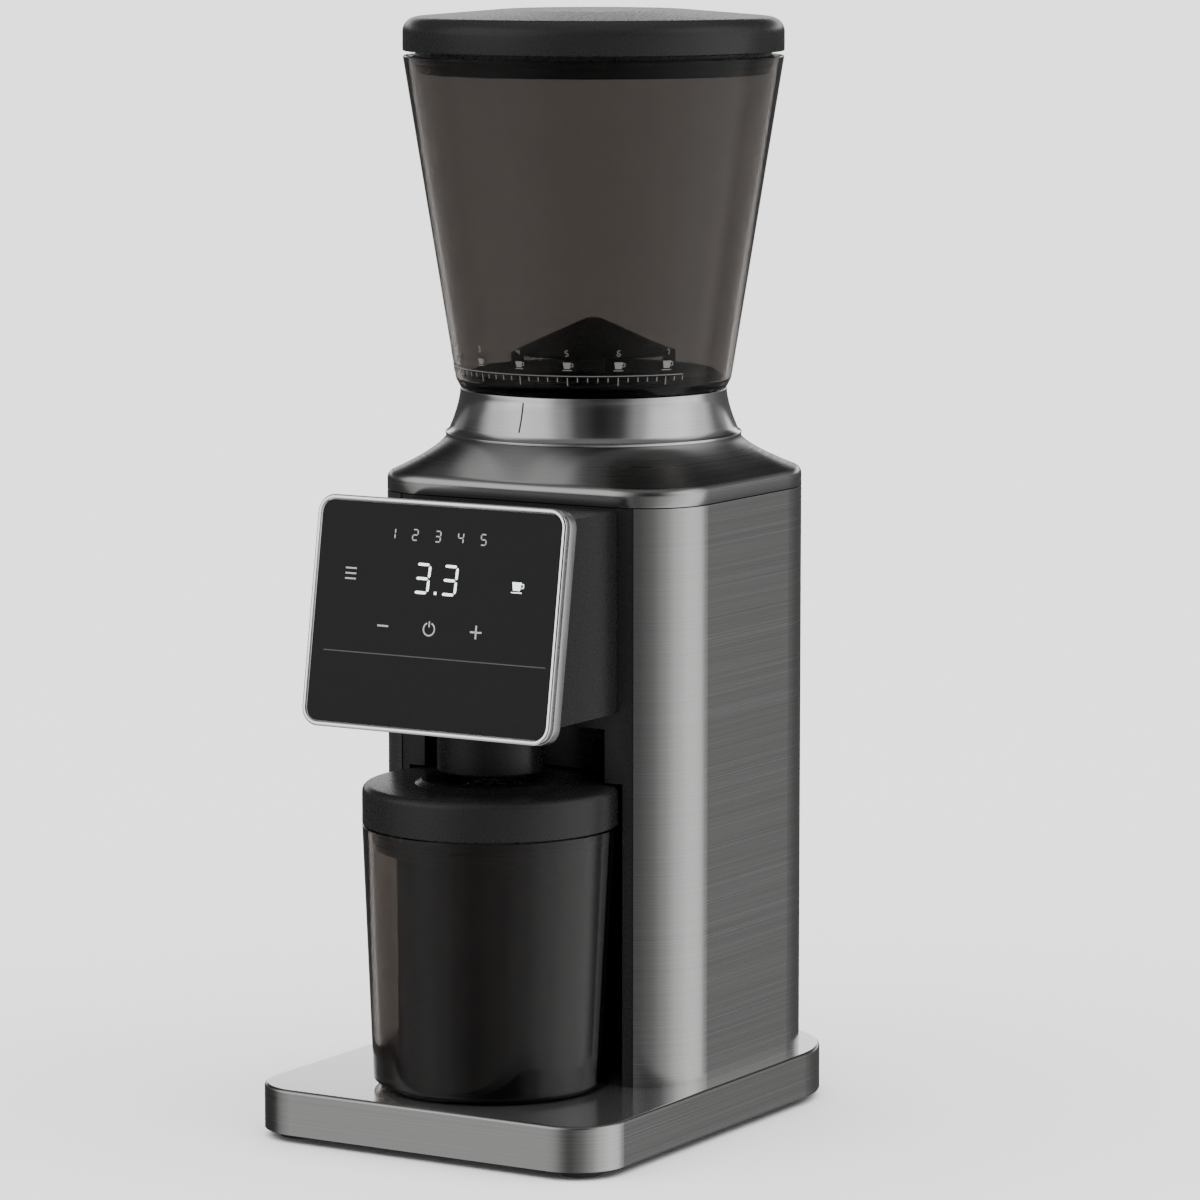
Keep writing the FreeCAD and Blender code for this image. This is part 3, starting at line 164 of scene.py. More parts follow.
M = {
    "steel": brushed("steel", (0.36, 0.36, 0.355), 0.24, (4.0, 4.0, 2200.0)),
    # The base's upper face: the same steel in a much lighter colour, painted light.
    "steel_top_painted_light": brushed("steel_top_painted_light", (0.95, 0.95, 0.945), 0.12, (9.0, 1600.0, 40.0),
                         spread=0.03, bump=0.02, contrast=0.03, metallic=0.975),
    # The shoulder's cove: the column's steel in a darker colour, painted shade.
    "cap_steel_painted_shade": brushed("cap_steel_painted_shade", (0.19, 0.19, 0.188), 0.3, (4.0, 4.0, 2200.0)),
    "collar_metal": brushed("collar_metal", (0.52, 0.52, 0.52), 0.15, (8.0, 8.0, 2600.0),
                            spread=0.02, bump=0.02, contrast=0.04),
    "black_plastic": moulded("black_plastic", (0.011, 0.011, 0.0115), 0.28, bump=0.015,
                             Specular_IOR_Level=0.22),
    "matte_black": moulded("matte_black", (0.018, 0.018, 0.019), 0.48, grain=1500.0, bump=0.12),
    "smoked_plastic": smoked("smoked_plastic", (0.165, 0.153, 0.144)),
    "smoked_container": smoked("smoked_container", (0.17, 0.153, 0.143), Coat_Weight=0.36,
                               Coat_Roughness=0.12),
    "chrome": new_material("chrome", (0.95, 0.95, 0.95), 0.1, 1.0),
    "silver_plastic": brushed("silver_plastic", (0.5, 0.5, 0.5), 0.28, (30.0, 900.0, 30.0)),
    "touch_glass": moulded("touch_glass", (0.005, 0.005, 0.0055), 0.08, grain=300.0, bump=0.01,
                           Specular_IOR_Level=0.12),
    "rubber": moulded("rubber", (0.016, 0.016, 0.016), 0.7, grain=1300.0, bump=0.2),
    "burr_steel": brushed("burr_steel", (0.35, 0.35, 0.35), 0.35, (400.0, 400.0, 60.0)),
    "shaft_steel": brushed("shaft_steel", (0.55, 0.55, 0.56), 0.25, (40.0, 40.0, 2500.0)),
    "bronze": brushed("bronze", (0.62, 0.42, 0.2), 0.35, (900.0, 900.0, 900.0)),
    "gear_plastic": moulded("gear_plastic", (0.72, 0.7, 0.64), 0.4),
    "motor_metal": brushed("motor_metal", (0.42, 0.42, 0.44), 0.35, (60.0, 60.0, 700.0)),
    "magnet": moulded("magnet", (0.05, 0.05, 0.05), 0.6, grain=700.0, bump=0.2),
    "circuit_board": moulded("circuit_board", (0.02, 0.12, 0.05), 0.4, grain=500.0, bump=0.1),
    "display": moulded("display", (0.12, 0.02, 0.02), 0.3),
    "display_light": glowing("display_light", (0.85, 0.88, 0.9), 0.9),
    # Printed key marks with a faint glow of their own: painted light.
    "print_grey_painted_glow": glowing("print_grey_painted_glow", (0.30, 0.30, 0.30), 0.25),
    "print_faint": moulded("print_faint", (0.05, 0.05, 0.05), 0.35),
    "print_scale": moulded("print_scale", (0.13, 0.125, 0.12), 0.5),
}


# ---- mesh helpers --------------------------------------------------------------------------------

def finish_mesh(name, bm, material, body, replaces=(), sharp=35.0):
    """Turn a bmesh into a piece that rides on a body."""
    bmesh.ops.remove_doubles(bm, verts=bm.verts, dist=WELD_DISTANCE)
    bmesh.ops.recalc_face_normals(bm, faces=bm.faces)
    mesh = bpy.data.meshes.new(name)
    bm.to_mesh(mesh)
    bm.free()
    for polygon in mesh.polygons:
        polygon.use_smooth = True
    mesh.set_sharp_from_angle(angle=math.radians(sharp))
    mesh.materials.append(material)
    piece = bpy.data.objects.new(name, mesh)
    bpy.context.scene.collection.objects.link(piece)
    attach(piece, body)
    if replaces:
        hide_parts(*replaces)
    return piece


def rounded_profile(corners, steps=6):
    """A closed profile whose corners (a, b, radius) are rounded by arcs."""
    points = []
    for index, corner in enumerate(corners):
        here = Vector(corner[:2])
        if len(corner) < 3:
            points.append(here)
            continue
        before = (Vector(corners[index - 1][:2]) - here).normalized()
        after = (Vector(corners[(index + 1) % len(corners)][:2]) - here).normalized()
        half = before.angle(after) / 2
        reach = corner[2] / math.tan(half)
        centre = here + (before + after).normalized() * (corner[2] / math.sin(half))
        start, end = here + before * reach - centre, here + after * reach - centre
        turn = math.atan2(start.cross(end), start.dot(end))
        for step in range(steps + 1):
            points.append(centre + start @ Matrix.Rotation(-turn * step / steps, 2))
    return points


def skin(bm, loops, close=True):
    """Quads between loops of points. Close joins the last loop to the first; without it, flat faces
    shut both ends."""
    rings = [[bm.verts.new(Vector(point) * MM) for point in loop] for loop in loops]
    pairs = list(zip(rings, rings[1:] + rings[:1])) if close else list(zip(rings, rings[1:]))
    for lower, upper in pairs:
        for index in range(len(lower)):
            after = (index + 1) % len(lower)
            corners = [lower[index], lower[after], upper[after], upper[index]]
            if len({tuple(round(c, 9) for c in v.co) for v in corners}) > 2:
                bm.faces.new(corners)
    if not close:
        bm.faces.new(rings[-1])
        bm.faces.new(list(reversed(rings[0])))


def circle(radius, y, height, sides, shift=0.0):
    """Points round an upright axis; shift turns them by a share of a side."""
    angles = [2 * math.pi * (side + shift) / sides for side in range(sides)]
    return [(radius * math.cos(angle), y + radius * math.sin(angle), height) for angle in angles]


def lathe(name, profile, y, material, body, replaces=(), segments=160):
    """A piece turned about an upright axis from a closed (radius, height) profile."""
    bm = bmesh.new()
    skin(bm, [circle(max(radius, 0.0), y, height, segments) for radius, height in rounded_profile(profile)])
    return finish_mesh(name, bm, material, body, replaces)


def on_panel(x, y, depth):
    """A place on the tilted control panel: x to the right, y up, depth out from its face."""
    right = Vector((1, 0, 0))
    up = Vector((0, math.sin(PANEL_TILT), math.cos(PANEL_TILT)))
    out = Vector((0, -math.cos(PANEL_TILT), math.sin(PANEL_TILT)))
    return PANEL_CENTRE + right * x + up * y + out * depth


# ---- carried-over CAD nodes ----------------------------------------------------------------------

def dress_cad():
    """Give every CAD node the material of its slot."""
    slots = {row["node"]: row["material_slot"] for row in frame["record"]["subparts"]}
    for name, node in frame["nodes"].items():
        node.data.materials.clear()
        node.data.materials.append(M[slots[name]])
        for polygon in node.data.polygons:
            polygon.use_smooth = True
        node.data.set_sharp_from_angle(angle=math.radians(30))


def brighten_base_top():
    """The base's upper face takes a much lighter copy of the steel, painted light, brushed across; its sides
    keep the steel, brushed along.
    """
    mesh = frame["nodes"]["base_cover"].data
    mesh.materials.append(M["steel_top_painted_light"])
    for polygon in mesh.polygons:
        if polygon.normal.z > 0.95:
            polygon.material_index = 1


def soften_edges(name, width, segments=3):
    """Round a CAD node's hard edges with a bevel."""
    bevel = frame["nodes"][name].modifiers.new("soft_edges", "BEVEL")
    bevel.width = width * MM
    bevel.segments = segments
    bevel.limit_method = "ANGLE"
    bevel.angle_limit = math.radians(40)
    bevel.harden_normals = True


# ---- hopper and its lid --------------------------------------------------------------------------

def hopper_radius(height):
    """Outer radius of the hopper's straight cone."""
    share = (height - HOPPER_FOOT) / (HOPPER_RIM - HOPPER_FOOT)
    return HOPPER_FOOT_RADIUS + (HOPPER_RIM_RADIUS - HOPPER_FOOT_RADIUS) * share


def make_hopper():
    """The smoked cone with its floor, and the lid with its gasket."""
    wall = 2.0
    lathe("hopper_shell", [
        (40.4, 254.7, 0.4), (42.3, 254.7, 0.4), (42.3, 256.9), (47.1, 256.9, 0.8),
        (HOPPER_FOOT_RADIUS, HOPPER_FOOT, 1.2), (HOPPER_RIM_RADIUS, HOPPER_RIM, 0.5),
        (HOPPER_RIM_RADIUS - wall, HOPPER_RIM, 0.5), (HOPPER_FOOT_RADIUS - wall, HOPPER_FOOT + 0.2, 1.0),
        (45.1, 258.9, 0.4), (40.4, 258.9, 0.4)],
        BURR_Y, M["smoked_plastic"], "bean_hopper", ["hopper"], 192)
    lathe("hopper_floor_ring", [
        (28.0, 256.9, 0.5), (40.3, 256.9), (40.3, 259.0), (45.0, 259.0, 0.3), (45.8, 261.2, 0.6),
        (43.0, 262.4, 1.2), (30.2, 259.6, 1.0), (28.0, 258.9, 0.5)],
        BURR_Y, M["black_plastic"], "bean_hopper", ["hopper_floor"])
    lathe("hopper_lid_shell", [
        (60.4, 367.0, 0.6), (62.6, 367.0, 0.6), (62.6, 375.0, 0.6), (67.1, 375.0, 0.5), (67.1, 385.3, 5.2),
        (62.6, 386.9, 9.0), (32.0, 389.4, 60.0), (0.0, 390.0), (0.0, 387.8), (32.0, 387.2), (62.0, 384.6),
        (60.4, 382.6)],
        BURR_Y, M["black_plastic"], "hopper_cover", ["hopper_lid"], 192)
    lathe("hopper_lid_gasket", [
        (62.6, 369.6), (63.4, 369.6, 0.3), (64.0, 370.6, 0.3), (63.3, 371.4, 0.2), (64.0, 372.2, 0.3),
        (63.4, 373.2, 0.3), (62.6, 373.2)],
        BURR_Y, M["rubber"], "hopper_cover", ["hopper_lid_seal"])


def make_guard():
    """Finger guard: a low cone on four legs."""
    lathe("guard_cone", [
        (25.4, 268.3, 0.4), (27.2, 268.3, 0.5), (27.2, 269.6, 0.6), (2.7, 280.5, 2.4), (0.0, 280.7),
        (0.0, 278.9), (25.4, 268.9)],
        BURR_Y, M["black_plastic"], "bean_hopper", [])
    leg_place, leg_size, leg_bevel = Vector((27.6, 0, 266.6)), Vector((3.6, 6.0, 5.4)), 0.6
    bm = bmesh.new()
    for quarter in range(4):
        turn = Matrix.Rotation(math.radians(90 * quarter + 45), 4, "Z")
        place = Matrix.Translation(Vector((0, BURR_Y, 0)) * MM) @ turn @ Matrix.Translation(leg_place * MM)
        size = Matrix.Diagonal((*(leg_size * MM), 1.0))
        bmesh.ops.create_cube(bm, size=1.0, matrix=place @ size)
    bmesh.ops.bevel(bm, geom=bm.edges[:], offset=leg_bevel * MM, segments=2, affect="EDGES", profile=0.5)
    finish_mesh("guard_legs", bm, M["black_plastic"], "bean_hopper", ["bean_guard"])


def plate_on_cone(bm, outline, angle, height, proud=0.12, sunk=0.05):
    """A thin plate whose outline (across, up) is laid on the hopper's cone at an angle from the front."""
    rims = []
    for lift in (-sunk, proud):
        rim = []
        for across, up in outline:
            radius = hopper_radius(height + up) + lift
            turn = math.radians(angle) + across / radius
            rim.append((radius * math.sin(turn), BURR_Y - radius * math.cos(turn), height + up))
        rims.append(rim)
    skin(bm, rims, close=False)


def bar(width, height, x=0.0, y=0.0):
    """A rectangle's corners."""
    return [(x - width / 2, y - height / 2), (x + width / 2, y - height / 2),
            (x + width / 2, y + height / 2), (x - width / 2, y + height / 2)]


# The strokes of each digit that is shown: a on top, then clockwise to f, and g across the middle.
SEGMENTS = {"1": "bc", "2": "abged", "3": "abgcd", "4": "fgbc", "5": "afgcd", "6": "afgedc", "7": "abc"}


def digit_bars(digit, height, stroke, x=0.0, y=0.0, slant=0.05):
    """Seven-segment strokes of one digit, as outlines round its middle."""
    width = height * 0.56
    across, down = width / 2, height / 2
    gap = stroke * 0.35
    ends = {"a": ((-across, down), (across, down)), "g": ((-across, 0), (across, 0)),
            "d": ((-across, -down), (across, -down)), "f": ((-across, 0), (-across, down)),
            "b": ((across, 0), (across, down)), "e": ((-across, -down), (-across, 0)),
            "c": ((across, -down), (across, 0))}
    strokes = []
    for letter in SEGMENTS[digit]:
        start, end = Vector(ends[letter][0]), Vector(ends[letter][1])
        along = (end - start).normalized()
        side = Vector((-along.y, along.x)) * stroke / 2
        start, end = start + along * gap, end - along * gap
        tip = along * stroke / 2
        shape = [start, start + tip - side, end - tip - side, end, end - tip + side, start + tip + side]
        strokes.append([(point.x + slant * point.y + x, point.y + y) for point in shape])
    return strokes


def cup_outlines(size):
    """A small cup seen from the side: body, handle and saucer."""
    body = [(-0.42 * size, 0.35 * size), (-0.3 * size, -0.3 * size), (0.3 * size, -0.3 * size),
            (0.42 * size, 0.35 * size)]
    handle = [bar(0.22 * size, 0.07 * size, 0.5 * size, 0.22 * size),
              bar(0.07 * size, 0.3 * size, 0.6 * size, 0.08 * size),
              bar(0.22 * size, 0.07 * size, 0.48 * size, -0.08 * size)]
    return [body, *handle, bar(0.95 * size, 0.08 * size, 0, -0.45 * size)]


def make_scale():
    """Grind scale on the hopper: ticks, a fine line, numbers and small cups."""
    pitch, half_count, long_every, line_steps = 4.1, 17, 5, 4
    tick_top, tick_width, long_tick, short_tick = 264.0, 0.32, 2.8, 1.5
    line_height, line_width, line_overlap = 264.6, 0.28, 0.02
    bm = bmesh.new()
    for tick in range(-half_count, half_count + 1):
        length = short_tick if tick % long_every else long_tick
        plate_on_cone(bm, bar(tick_width, length, 0, -length / 2), tick * pitch, tick_top)
    dash = hopper_radius(line_height - 0.1) * math.radians(pitch / line_steps) + line_overlap
    for step in range(-half_count * line_steps, half_count * line_steps):
        plate_on_cone(bm, bar(dash, line_width), (step + 0.5) * pitch / line_steps, line_height)
    finish_mesh("grind_scale", bm, M["print_scale"], "bean_hopper", sharp=30)
    digit_height, digit_stroke, digit_place, cup_place = 1.9, 0.3, 272.6, 268.2
    bm = bmesh.new()
    for number, angle in enumerate((-61.5, -41.0, -20.5, 0.0, 20.5, 41.0, 61.5), 1):
        for stroke in digit_bars(str(number), digit_height, digit_stroke):
            plate_on_cone(bm, stroke, angle, digit_place)
        for outline in cup_outlines(2.2 + 0.25 * number):
            plate_on_cone(bm, outline, angle, cup_place)
    finish_mesh("grind_scale_marks", bm, M["print_scale"], "bean_hopper", sharp=30)


# ---- neck and shoulder ---------------------------------------------------------------------------

def neck_point(rise):
    """Radius and height of the flared collar's outside, at a share of its height."""
    flare = (NECK_FOOT_RADIUS - NECK_MOUTH_RADIUS) * (1 - rise) ** 1.6
    return NECK_MOUTH_RADIUS + flare, NECK_LOW + (NECK_HIGH - NECK_LOW) * rise


def make_neck():
    """The flared collar with a small lip at its foot, and the index mark let into its front."""
    bore, lip = 44.6, NECK_FOOT_RADIUS + 0.4
    flare = [neck_point(step / 10) for step in range(1, 10)]
    lathe("neck_collar", [
        (bore, NECK_LOW), (lip, NECK_LOW, 0.25), (lip, NECK_LOW + 0.9, 0.3), *flare,
        (NECK_MOUTH_RADIUS, NECK_HIGH, 0.35), (bore, NECK_HIGH, 0.3)],
        BURR_Y, M["collar_metal"], "housing", ["neck_ring"], 192)
    half, proud, sunk = 0.28, 0.06, 0.3
    mark_start, mark_length, mark_steps = 0.26, 0.62, 8
    loops = []
    for step in range(mark_steps + 1):
        radius, height = neck_point(mark_start + mark_length * step / mark_steps)
        outer, inner = BURR_Y - radius - proud, BURR_Y - radius + sunk
        loops.append([(-half, outer, height), (half, outer, height),
                      (half, inner, height), (-half, inner, height)])
    bm = bmesh.new()
    skin(bm, loops, close=False)
    finish_mesh("index_mark", bm, M["black_plastic"], "housing")


def column_reach(angle):
    """Distance from the burr axis to the column's outline in a direction."""
    behind = math.sin(angle) > 0
    depth = COLUMN_BACK - BURR_Y if behind else BURR_Y - COLUMN_FRONT
    corner = COLUMN_REAR_CORNER if behind else COLUMN_FRONT_CORNER
    across, along = abs(math.cos(angle)), abs(math.sin(angle))
    nearly_none = 1e-9
    reach = min(COLUMN_HALF / max(across, nearly_none), depth / max(along, nearly_none))
    centre = (COLUMN_HALF - corner, depth - corner)
    if across * reach > centre[0] and along * reach > centre[1]:
        near = across * centre[0] + along * centre[1]
        reach = near + math.sqrt(corner ** 2 - (centre[0] ** 2 + centre[1] ** 2 - near ** 2))
    return reach


def make_cap():
    """Shoulder: a skirt on the column's outline, a rounded edge and a concave cove up to the neck. The skirt
    and edge take the column's steel; the cove takes a darker copy of it, painted shade, so the edge looks
    lighter.
    """
    skirt_low, skirt_top, chamfer = COLUMN_TOP + 0.15, 227.6, 0.3
    brow, sweep, brow_steps = 3.2, math.radians(57), 6
    cove_curve, cove_steps = 1.42, 22
    bore, bore_depth = 46.5, 2.0
    brow_inset = brow * (1 - math.cos(sweep))
    # Each station is a height, a share from the neck's circle out to the column's outline, and an inset.
    stations = [(skirt_low, 1.0, 2.2), (skirt_low, 1.0, 0.35), (skirt_low + chamfer, 1.0, 0.0)]
    for step in range(brow_steps + 1):
        turn = sweep * step / brow_steps
        height = skirt_top + brow * (math.sin(turn) - math.sin(sweep))
        stations.append((height, 1.0, brow * (1 - math.cos(turn))))
    for step in range(1, cove_steps + 1):
        rise = step / cove_steps
        height = skirt_top + (NECK_LOW - skirt_top) * rise
        stations.append((height, (1 - rise) ** cove_curve, brow_inset * (1 - rise)))
    sides = 240
    loops = []
    for height, share, inset in stations:
        loop = []
        for side in range(sides):
            angle = 2 * math.pi * (side + 0.5) / sides
            radius = share * column_reach(angle) + (1 - share) * NECK_FOOT_RADIUS - inset
            loop.append((radius * math.cos(angle), BURR_Y + radius * math.sin(angle), height))
        loops.append(loop)
    loops += [circle(bore, BURR_Y, height, sides, 0.5) for height in (NECK_LOW, NECK_LOW - bore_depth)]
    bm = bmesh.new()
    skin(bm, loops)
    cap = finish_mesh("shoulder_cap", bm, M["cap_steel_painted_shade"], "housing", ["top_cap"], 50)
    # Below the skirt's top the column's steel; above it the cove keeps the darker copy, painted shade.
    cap.data.materials.append(M["steel"])
    for polygon in cap.data.polygons:
        if polygon.center.z < skirt_top * MM:
            polygon.material_index = 1


# ---- control panel -------------------------------------------------------------------------------

def panel_outline(inset, corner, steps):
    """The control panel's rounded outline, drawn in by an inset."""
    half_width, half_height = PANEL_HALF_WIDTH - inset, PANEL_HALF_HEIGHT - inset
    return rounded_profile([(-half_width, -half_height, corner), (half_width, -half_height, corner),
                            (half_width, half_height, corner), (-half_width, half_height, corner)], steps)


def panel_sweep(name, section, material, replaces=()):
    """Sweep a closed (inset, depth) section round the panel's rounded outline."""
    corner, tightest = 6.5, 0.4
    bm = bmesh.new()
    loops = []
    for inset, depth in rounded_profile(section, 4):
        outline = panel_outline(inset, max(corner - inset, tightest), 10)
        loops.append([on_panel(x, y, depth) for x, y in outline])
    skin(bm, loops)
    return finish_mesh(name, bm, material, "housing", replaces)


def panel_plate(name, shapes, back, front, material, replaces=()):
    """Flat shapes on the panel, from one depth to another."""
    bm = bmesh.new()
    for outline in shapes:
        skin(bm, [[on_panel(x, y, depth) for x, y in outline] for depth in (back, front)], close=False)
    return finish_mesh(name, bm, material, "housing", replaces, 30)


def ring_shapes(radius, stroke, x, y, start, end, steps=28):
    """An arc made of short quads, from one angle to another in degrees."""
    shapes = []
    for step in range(steps):
        a, b = (math.radians(start + (end - start) * (step + k) / steps) for k in (0, 1))
        inner, outer = radius - stroke / 2, radius + stroke / 2
        shapes.append([(x + inner * math.cos(a), y + inner * math.sin(a)),
                       (x + outer * math.cos(a), y + outer * math.sin(a)),
                       (x + outer * math.cos(b), y + outer * math.sin(b)),
                       (x + inner * math.cos(b), y + inner * math.sin(b))])
    return shapes


def make_panel():
    """The tilted panel: a chrome bead, a silver band, a back plate, the glass and what shows through it."""
    panel_sweep("panel_bead", [(0.0, -1.9, 0.5), (0.0, -0.35, 0.3), (0.5, 0.0, 0.3), (1.3, 0.0, 0.4),
                               (1.8, -0.5, 0.2), (1.8, -1.9, 0.2)],
                M["chrome"], ["panel_bezel"])
    panel_sweep("panel_band", [(2.4, -2.1), (0.75, -2.1), (0.75, -2.9), (0.0, -2.9, 0.3), (0.0, -7.2, 0.7),
                               (0.9, -8.0, 0.3), (3.2, -8.0)],
                M["silver_plastic"], ["panel_surround"])
    panel_plate("panel_back", [panel_outline(2.3, 4.2, 8)], -8.0, -7.1, M["matte_black"])
    panel_plate("touch_glass", [panel_outline(1.9, 4.8, 10)], -2.0, -0.55, M["touch_glass"],
                ["touch_panel"])

    # What shows through the glass starts just inside its face and stands proud by a hair.
    inside, proud = -0.56, -0.46
    point = bar(1.0, 1.0, 0.1, 8.5)
    digits = [stroke for x in (-5.6, 5.4) for stroke in digit_bars("3", 9.6, 0.95, x, 13.2)] + [point]
    panel_plate("display_digits", digits, inside, proud, M["display_light"])
    cup = [[(x + 32.3, y + 12.8) for x, y in shape] for shape in cup_outlines(4.4)]
    panel_plate("cup_mark", cup, inside, proud, M["display_light"])
    first_key, key_pitch, key_row = -18.9, 9.15, 27.8
    marks = [stroke for number in range(5)
             for stroke in digit_bars(str(number + 1), 3.6, 0.42, first_key + key_pitch * number, key_row)]
    menu = [bar(4.4, 0.55, -34.6, 13.2 + row) for row in (-1.8, 0.0, 1.8)]
    minus, plus = [bar(4.4, 0.6, -19.9, -3.9)], [bar(4.6, 0.6, 17.6, -3.6), bar(0.6, 4.6, 17.6, -3.6)]
    power = ring_shapes(2.2, 0.5, -1.2, -3.8, 115, 425) + [bar(0.5, 2.0, -1.2, -2.1)]
    # The key marks are print; their faint glow is painted light.
    panel_plate("key_marks", marks + menu + minus + plus + power, inside, proud, M["print_grey_painted_glow"])
    panel_plate("panel_line", [bar(89.4, 0.35, 1.5, -13.6)], inside, proud, M["print_faint"])


# ---- container and spout -------------------------------------------------------------------------

def make_container():
    """The smoked container, its lid with a filling hole and a gasket, and the spout above it."""
    lathe("container_shell", [
        (0.0, 19.1), (39.0, 19.1, 1.0), (41.2, 21.3, 1.4), (44.7, 110.4, 0.4), (42.5, 110.4, 0.4),
        (39.0, 21.4, 1.6), (0.0, 21.4)],
        CONTAINER_Y, M["smoked_container"], "grounds_container", ["container"], 160)
    lathe("container_lid_shell", [
        (38.4, 102.0, 0.4), (40.6, 102.0, 0.4), (40.6, 110.7), (44.7, 110.7, 0.5), (44.7, 124.5, 2.6),
        (26.5, 124.5, 0.6), (24.0, 126.2, 0.9), (17.0, 126.2, 0.9), (15.5, 124.8, 0.5), (15.5, 122.3, 0.4),
        (38.4, 122.3, 0.6)],
        CONTAINER_Y, M["black_plastic"], "container_cover", ["container_lid"], 160)
    lathe("container_lid_gasket", [
        (40.6, 104.6), (41.4, 104.6, 0.2), (42.0, 105.4, 0.2), (41.3, 106.1, 0.2), (42.0, 106.8, 0.2),
        (41.4, 107.6, 0.2), (40.6, 107.6)],
        CONTAINER_Y, M["rubber"], "container_cover", ["container_lid_seal"])
    lathe("spout_tube", [
        (14.0, 129.0, 0.6), (18.7, 129.0, 0.9), (18.7, 152.2), (21.0, 152.2, 0.3), (21.0, 154.4, 0.3),
        (14.0, 154.4)],
        CONTAINER_Y, M["black_plastic"], "housing", ["spout"], 128)


def make_foot(name):
    """A rubber foot with a stepped, rounded edge."""
    low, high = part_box(name)
    centre = (low + high) / 2 / MM
    radius = (high.x - low.x) / 2 / MM
    top = high.z / MM
    slack, chamfer = 0.1, 1.3
    outside = radius - slack
    foot = lathe(f"{name}_pad", [
        (0.0, 0.0), (outside - chamfer, 0.0, 0.5), (outside, 1.2, 0.6), (outside, top), (0.0, top)],
        centre.y, M["rubber"], "housing", [name], 64)
    for vertex in foot.data.vertices:
        vertex.co.x += centre.x * MM


# ---- stage ---------------------------------------------------------------------------------------

# Grey levels of the surround, as stops of (degrees from the front, towards the right, level). There is a list
# for each of three heights, and the surround is eased from one to the next over a span of the direction's z.
WORLD_PEAK = 2.4
WORLD_CEILING = 0.1
LOW_TO_MID, MID_TO_HIGH, HIGH_TO_CEILING = (0.06, 0.12), (0.17, 0.26), (0.6, 0.85)
WORLD_LOW = [
    (-180, 0.12), (-100, 0.07), (-75, 0.08), (-55, 0.5), (-31, 0.8), (-12, 0.6), (2, 0.3), (15, 0.14),
    (40, 0.3), (62, 0.65), (84, 1.3), (106, 1.8), (128, 1.7), (146, 0.3), (170, 0.15), (180, 0.12)]
WORLD_MID = [
    (-180, 1.8), (-165, 2.4), (-140, 2.4), (-112, 0.3), (-95, 0.12), (-80, 0.15), (-62, 1.2),
    (-40, 1.8), (-16, 1.6), (2, 0.45), (18, 0.12), (36, 0.05), (54, 0.1), (72, 0.5), (90, 1.2),
    (112, 1.7), (136, 1.1), (154, 0.2), (168, 0.4), (180, 1.8)]
WORLD_HIGH = [
    (-180, 0.06), (-100, 0.06), (-86, 0.11), (-62, 1.1), (-40, 1.45), (-16, 1.3), (2, 0.5),
    (18, 0.1), (36, 0.03), (54, 0.07), (72, 0.5), (90, 1.4), (112, 1.8), (136, 1.1), (156, 0.2),
    (180, 0.06)]


def blend_nodes(tree, share, low, high):
    """Mix two grey levels by a share from 0 to 1."""
    mix = tree.nodes.new("ShaderNodeMix")
    tree.links.new(share, mix.inputs["Factor"])
    for socket, level in (("A", low), ("B", high)):
        if isinstance(level, float):
            mix.inputs[socket].default_value = level
        else:
            tree.links.new(level, mix.inputs[socket])
    return mix.outputs["Result"]


def smooth_step(tree, value, start, end):
    """0 below start, 1 above end, eased between."""
    step = tree.nodes.new("ShaderNodeMapRange")
    step.interpolation_type = "SMOOTHSTEP"
    step.inputs["From Min"].default_value = start
    step.inputs["From Max"].default_value = end
    tree.links.new(value, step.inputs["Value"])
    return step.outputs["Result"]


def level_by_azimuth(tree, azimuth, stops):
    """Grey level round the horizon, from stops of (degrees from the front, level)."""
    spread = tree.nodes.new("ShaderNodeMapRange")
    spread.inputs["From Min"].default_value = -math.pi
    spread.inputs["From Max"].default_value = math.pi
    tree.links.new(azimuth, spread.inputs["Value"])
    ramp = tree.nodes.new("ShaderNodeValToRGB")
    ramp.color_ramp.interpolation = "EASE"
    elements = ramp.color_ramp.elements
    elements[0].position, elements[1].position = [(degrees + 180) / 360 for degrees, _ in stops[:2]]
    for degrees, _ in stops[2:]:
        elements.new((degrees + 180) / 360)
    for element, (_, level) in zip(elements, stops):
        element.color = (level / WORLD_PEAK,) * 3 + (1.0,)
    tree.links.new(spread.outputs["Result"], ramp.inputs["Fac"])
    level = tree.nodes.new("ShaderNodeRGBToBW")
    tree.links.new(ramp.outputs["Color"], level.inputs["Color"])
    return level.outputs["Val"]


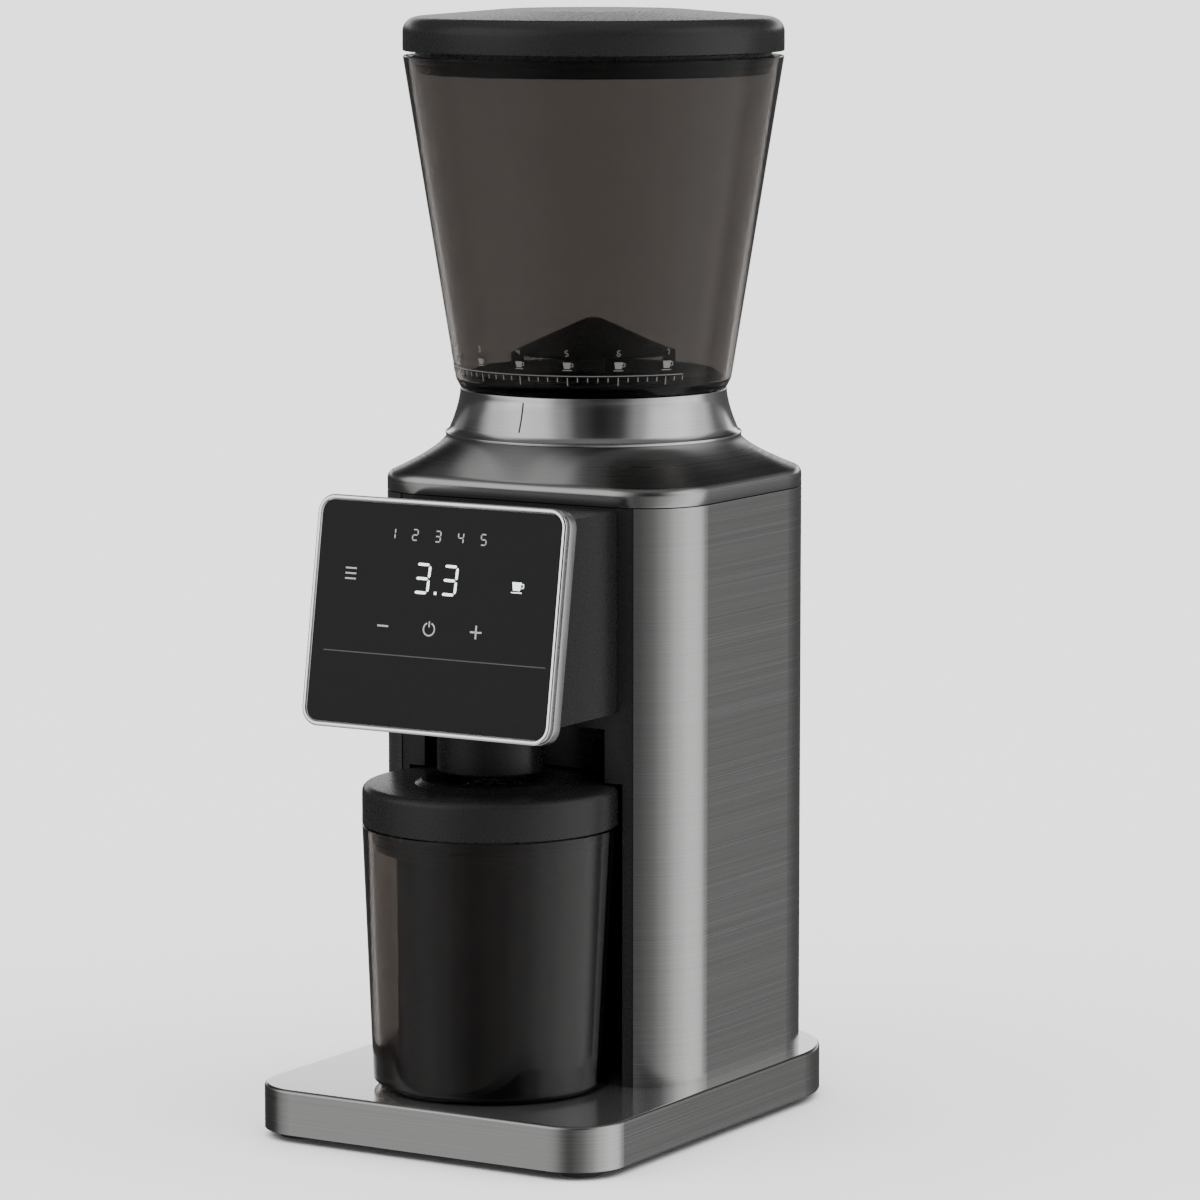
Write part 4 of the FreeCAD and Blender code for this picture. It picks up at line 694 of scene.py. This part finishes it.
def studio_world():
    """Soft upright light banks on a dark surround, which falls off to a dim ceiling."""
    world = bpy.data.worlds.new("studio")
    bpy.context.scene.world = world
    world.use_nodes = True
    tree = world.node_tree
    background = tree.nodes["Background"]
    direction = tree.nodes.new("ShaderNodeTexCoord")
    split = tree.nodes.new("ShaderNodeSeparateXYZ")
    tree.links.new(direction.outputs["Generated"], split.inputs["Vector"])
    flip = tree.nodes.new("ShaderNodeMath")
    flip.operation = "MULTIPLY"
    flip.inputs[1].default_value = -1.0
    tree.links.new(split.outputs["Y"], flip.inputs[0])
    azimuth = tree.nodes.new("ShaderNodeMath")
    azimuth.operation = "ARCTAN2"
    tree.links.new(split.outputs["X"], azimuth.inputs[0])
    tree.links.new(flip.outputs["Value"], azimuth.inputs[1])
    low, mid, high = (level_by_azimuth(tree, azimuth.outputs["Value"], stops)
                      for stops in (WORLD_LOW, WORLD_MID, WORLD_HIGH))
    level = low
    for heights, above in ((LOW_TO_MID, mid), (MID_TO_HIGH, high), (HIGH_TO_CEILING, WORLD_CEILING)):
        level = blend_nodes(tree, smooth_step(tree, split.outputs["Z"], *heights), level, above)
    tree.links.new(level, background.inputs["Color"])
    background.inputs["Strength"].default_value = WORLD_PEAK


def stage():
    """Pale floor, soft lights and a camera at the object's three-quarter view."""
    floor_mesh = bpy.data.meshes.new("floor")
    reach = 40.0  # metres
    corners = [(-reach, -reach, 0), (reach, -reach, 0), (reach, reach, 0), (-reach, reach, 0)]
    floor_mesh.from_pydata(corners, [], [(0, 1, 2, 3)])
    floor_mesh.materials.append(new_material("floor", (0.86, 0.86, 0.86), 0.9, Specular_IOR_Level=0.1))
    floor = bpy.data.objects.new("floor", floor_mesh)
    bpy.context.scene.collection.objects.link(floor)
    floor.visible_glossy = False

    studio_world()
    lamp = bpy.data.lights.new("overhead", "SUN")
    lamp.energy, lamp.angle = 7.0, math.radians(110)
    light = bpy.data.objects.new("overhead", lamp)
    light.visible_glossy = False
    bpy.context.scene.collection.objects.link(light)

    azimuth, elevation = math.radians(31.02), math.radians(7.466)
    distance, aim_height, aim_right = 1995.64, 180.43, 2.26
    camera_data = bpy.data.cameras.new("camera")
    camera_data.sensor_width = 36.0
    camera_data.lens = 168.443
    camera_data.clip_end = 100.0
    camera = bpy.data.objects.new("camera", camera_data)
    back = Vector((math.sin(azimuth) * math.cos(elevation), -math.cos(azimuth) * math.cos(elevation),
                   math.sin(elevation)))
    right = Vector((math.cos(azimuth), math.sin(azimuth), 0))
    target = Vector((0, BURR_Y, aim_height)) + right * aim_right
    camera.location = (target + back * distance) * MM
    camera.rotation_mode = "QUATERNION"
    camera.rotation_quaternion = (-back).to_track_quat("-Z", "Y")
    bpy.context.scene.collection.objects.link(camera)
    bpy.context.scene.camera = camera


stage()
dress_cad()
brighten_base_top()
for node, width in (("head_housing", 1.6), ("front_panel", 0.9), ("rear_cover", 0.6)):
    soften_edges(node, width)
make_hopper()
make_guard()
make_scale()
make_neck()
make_cap()
make_panel()
make_container()
for end in ("front", "rear"):
    for side in ("left", "right"):
        make_foot(f"foot_{end}_{side}")
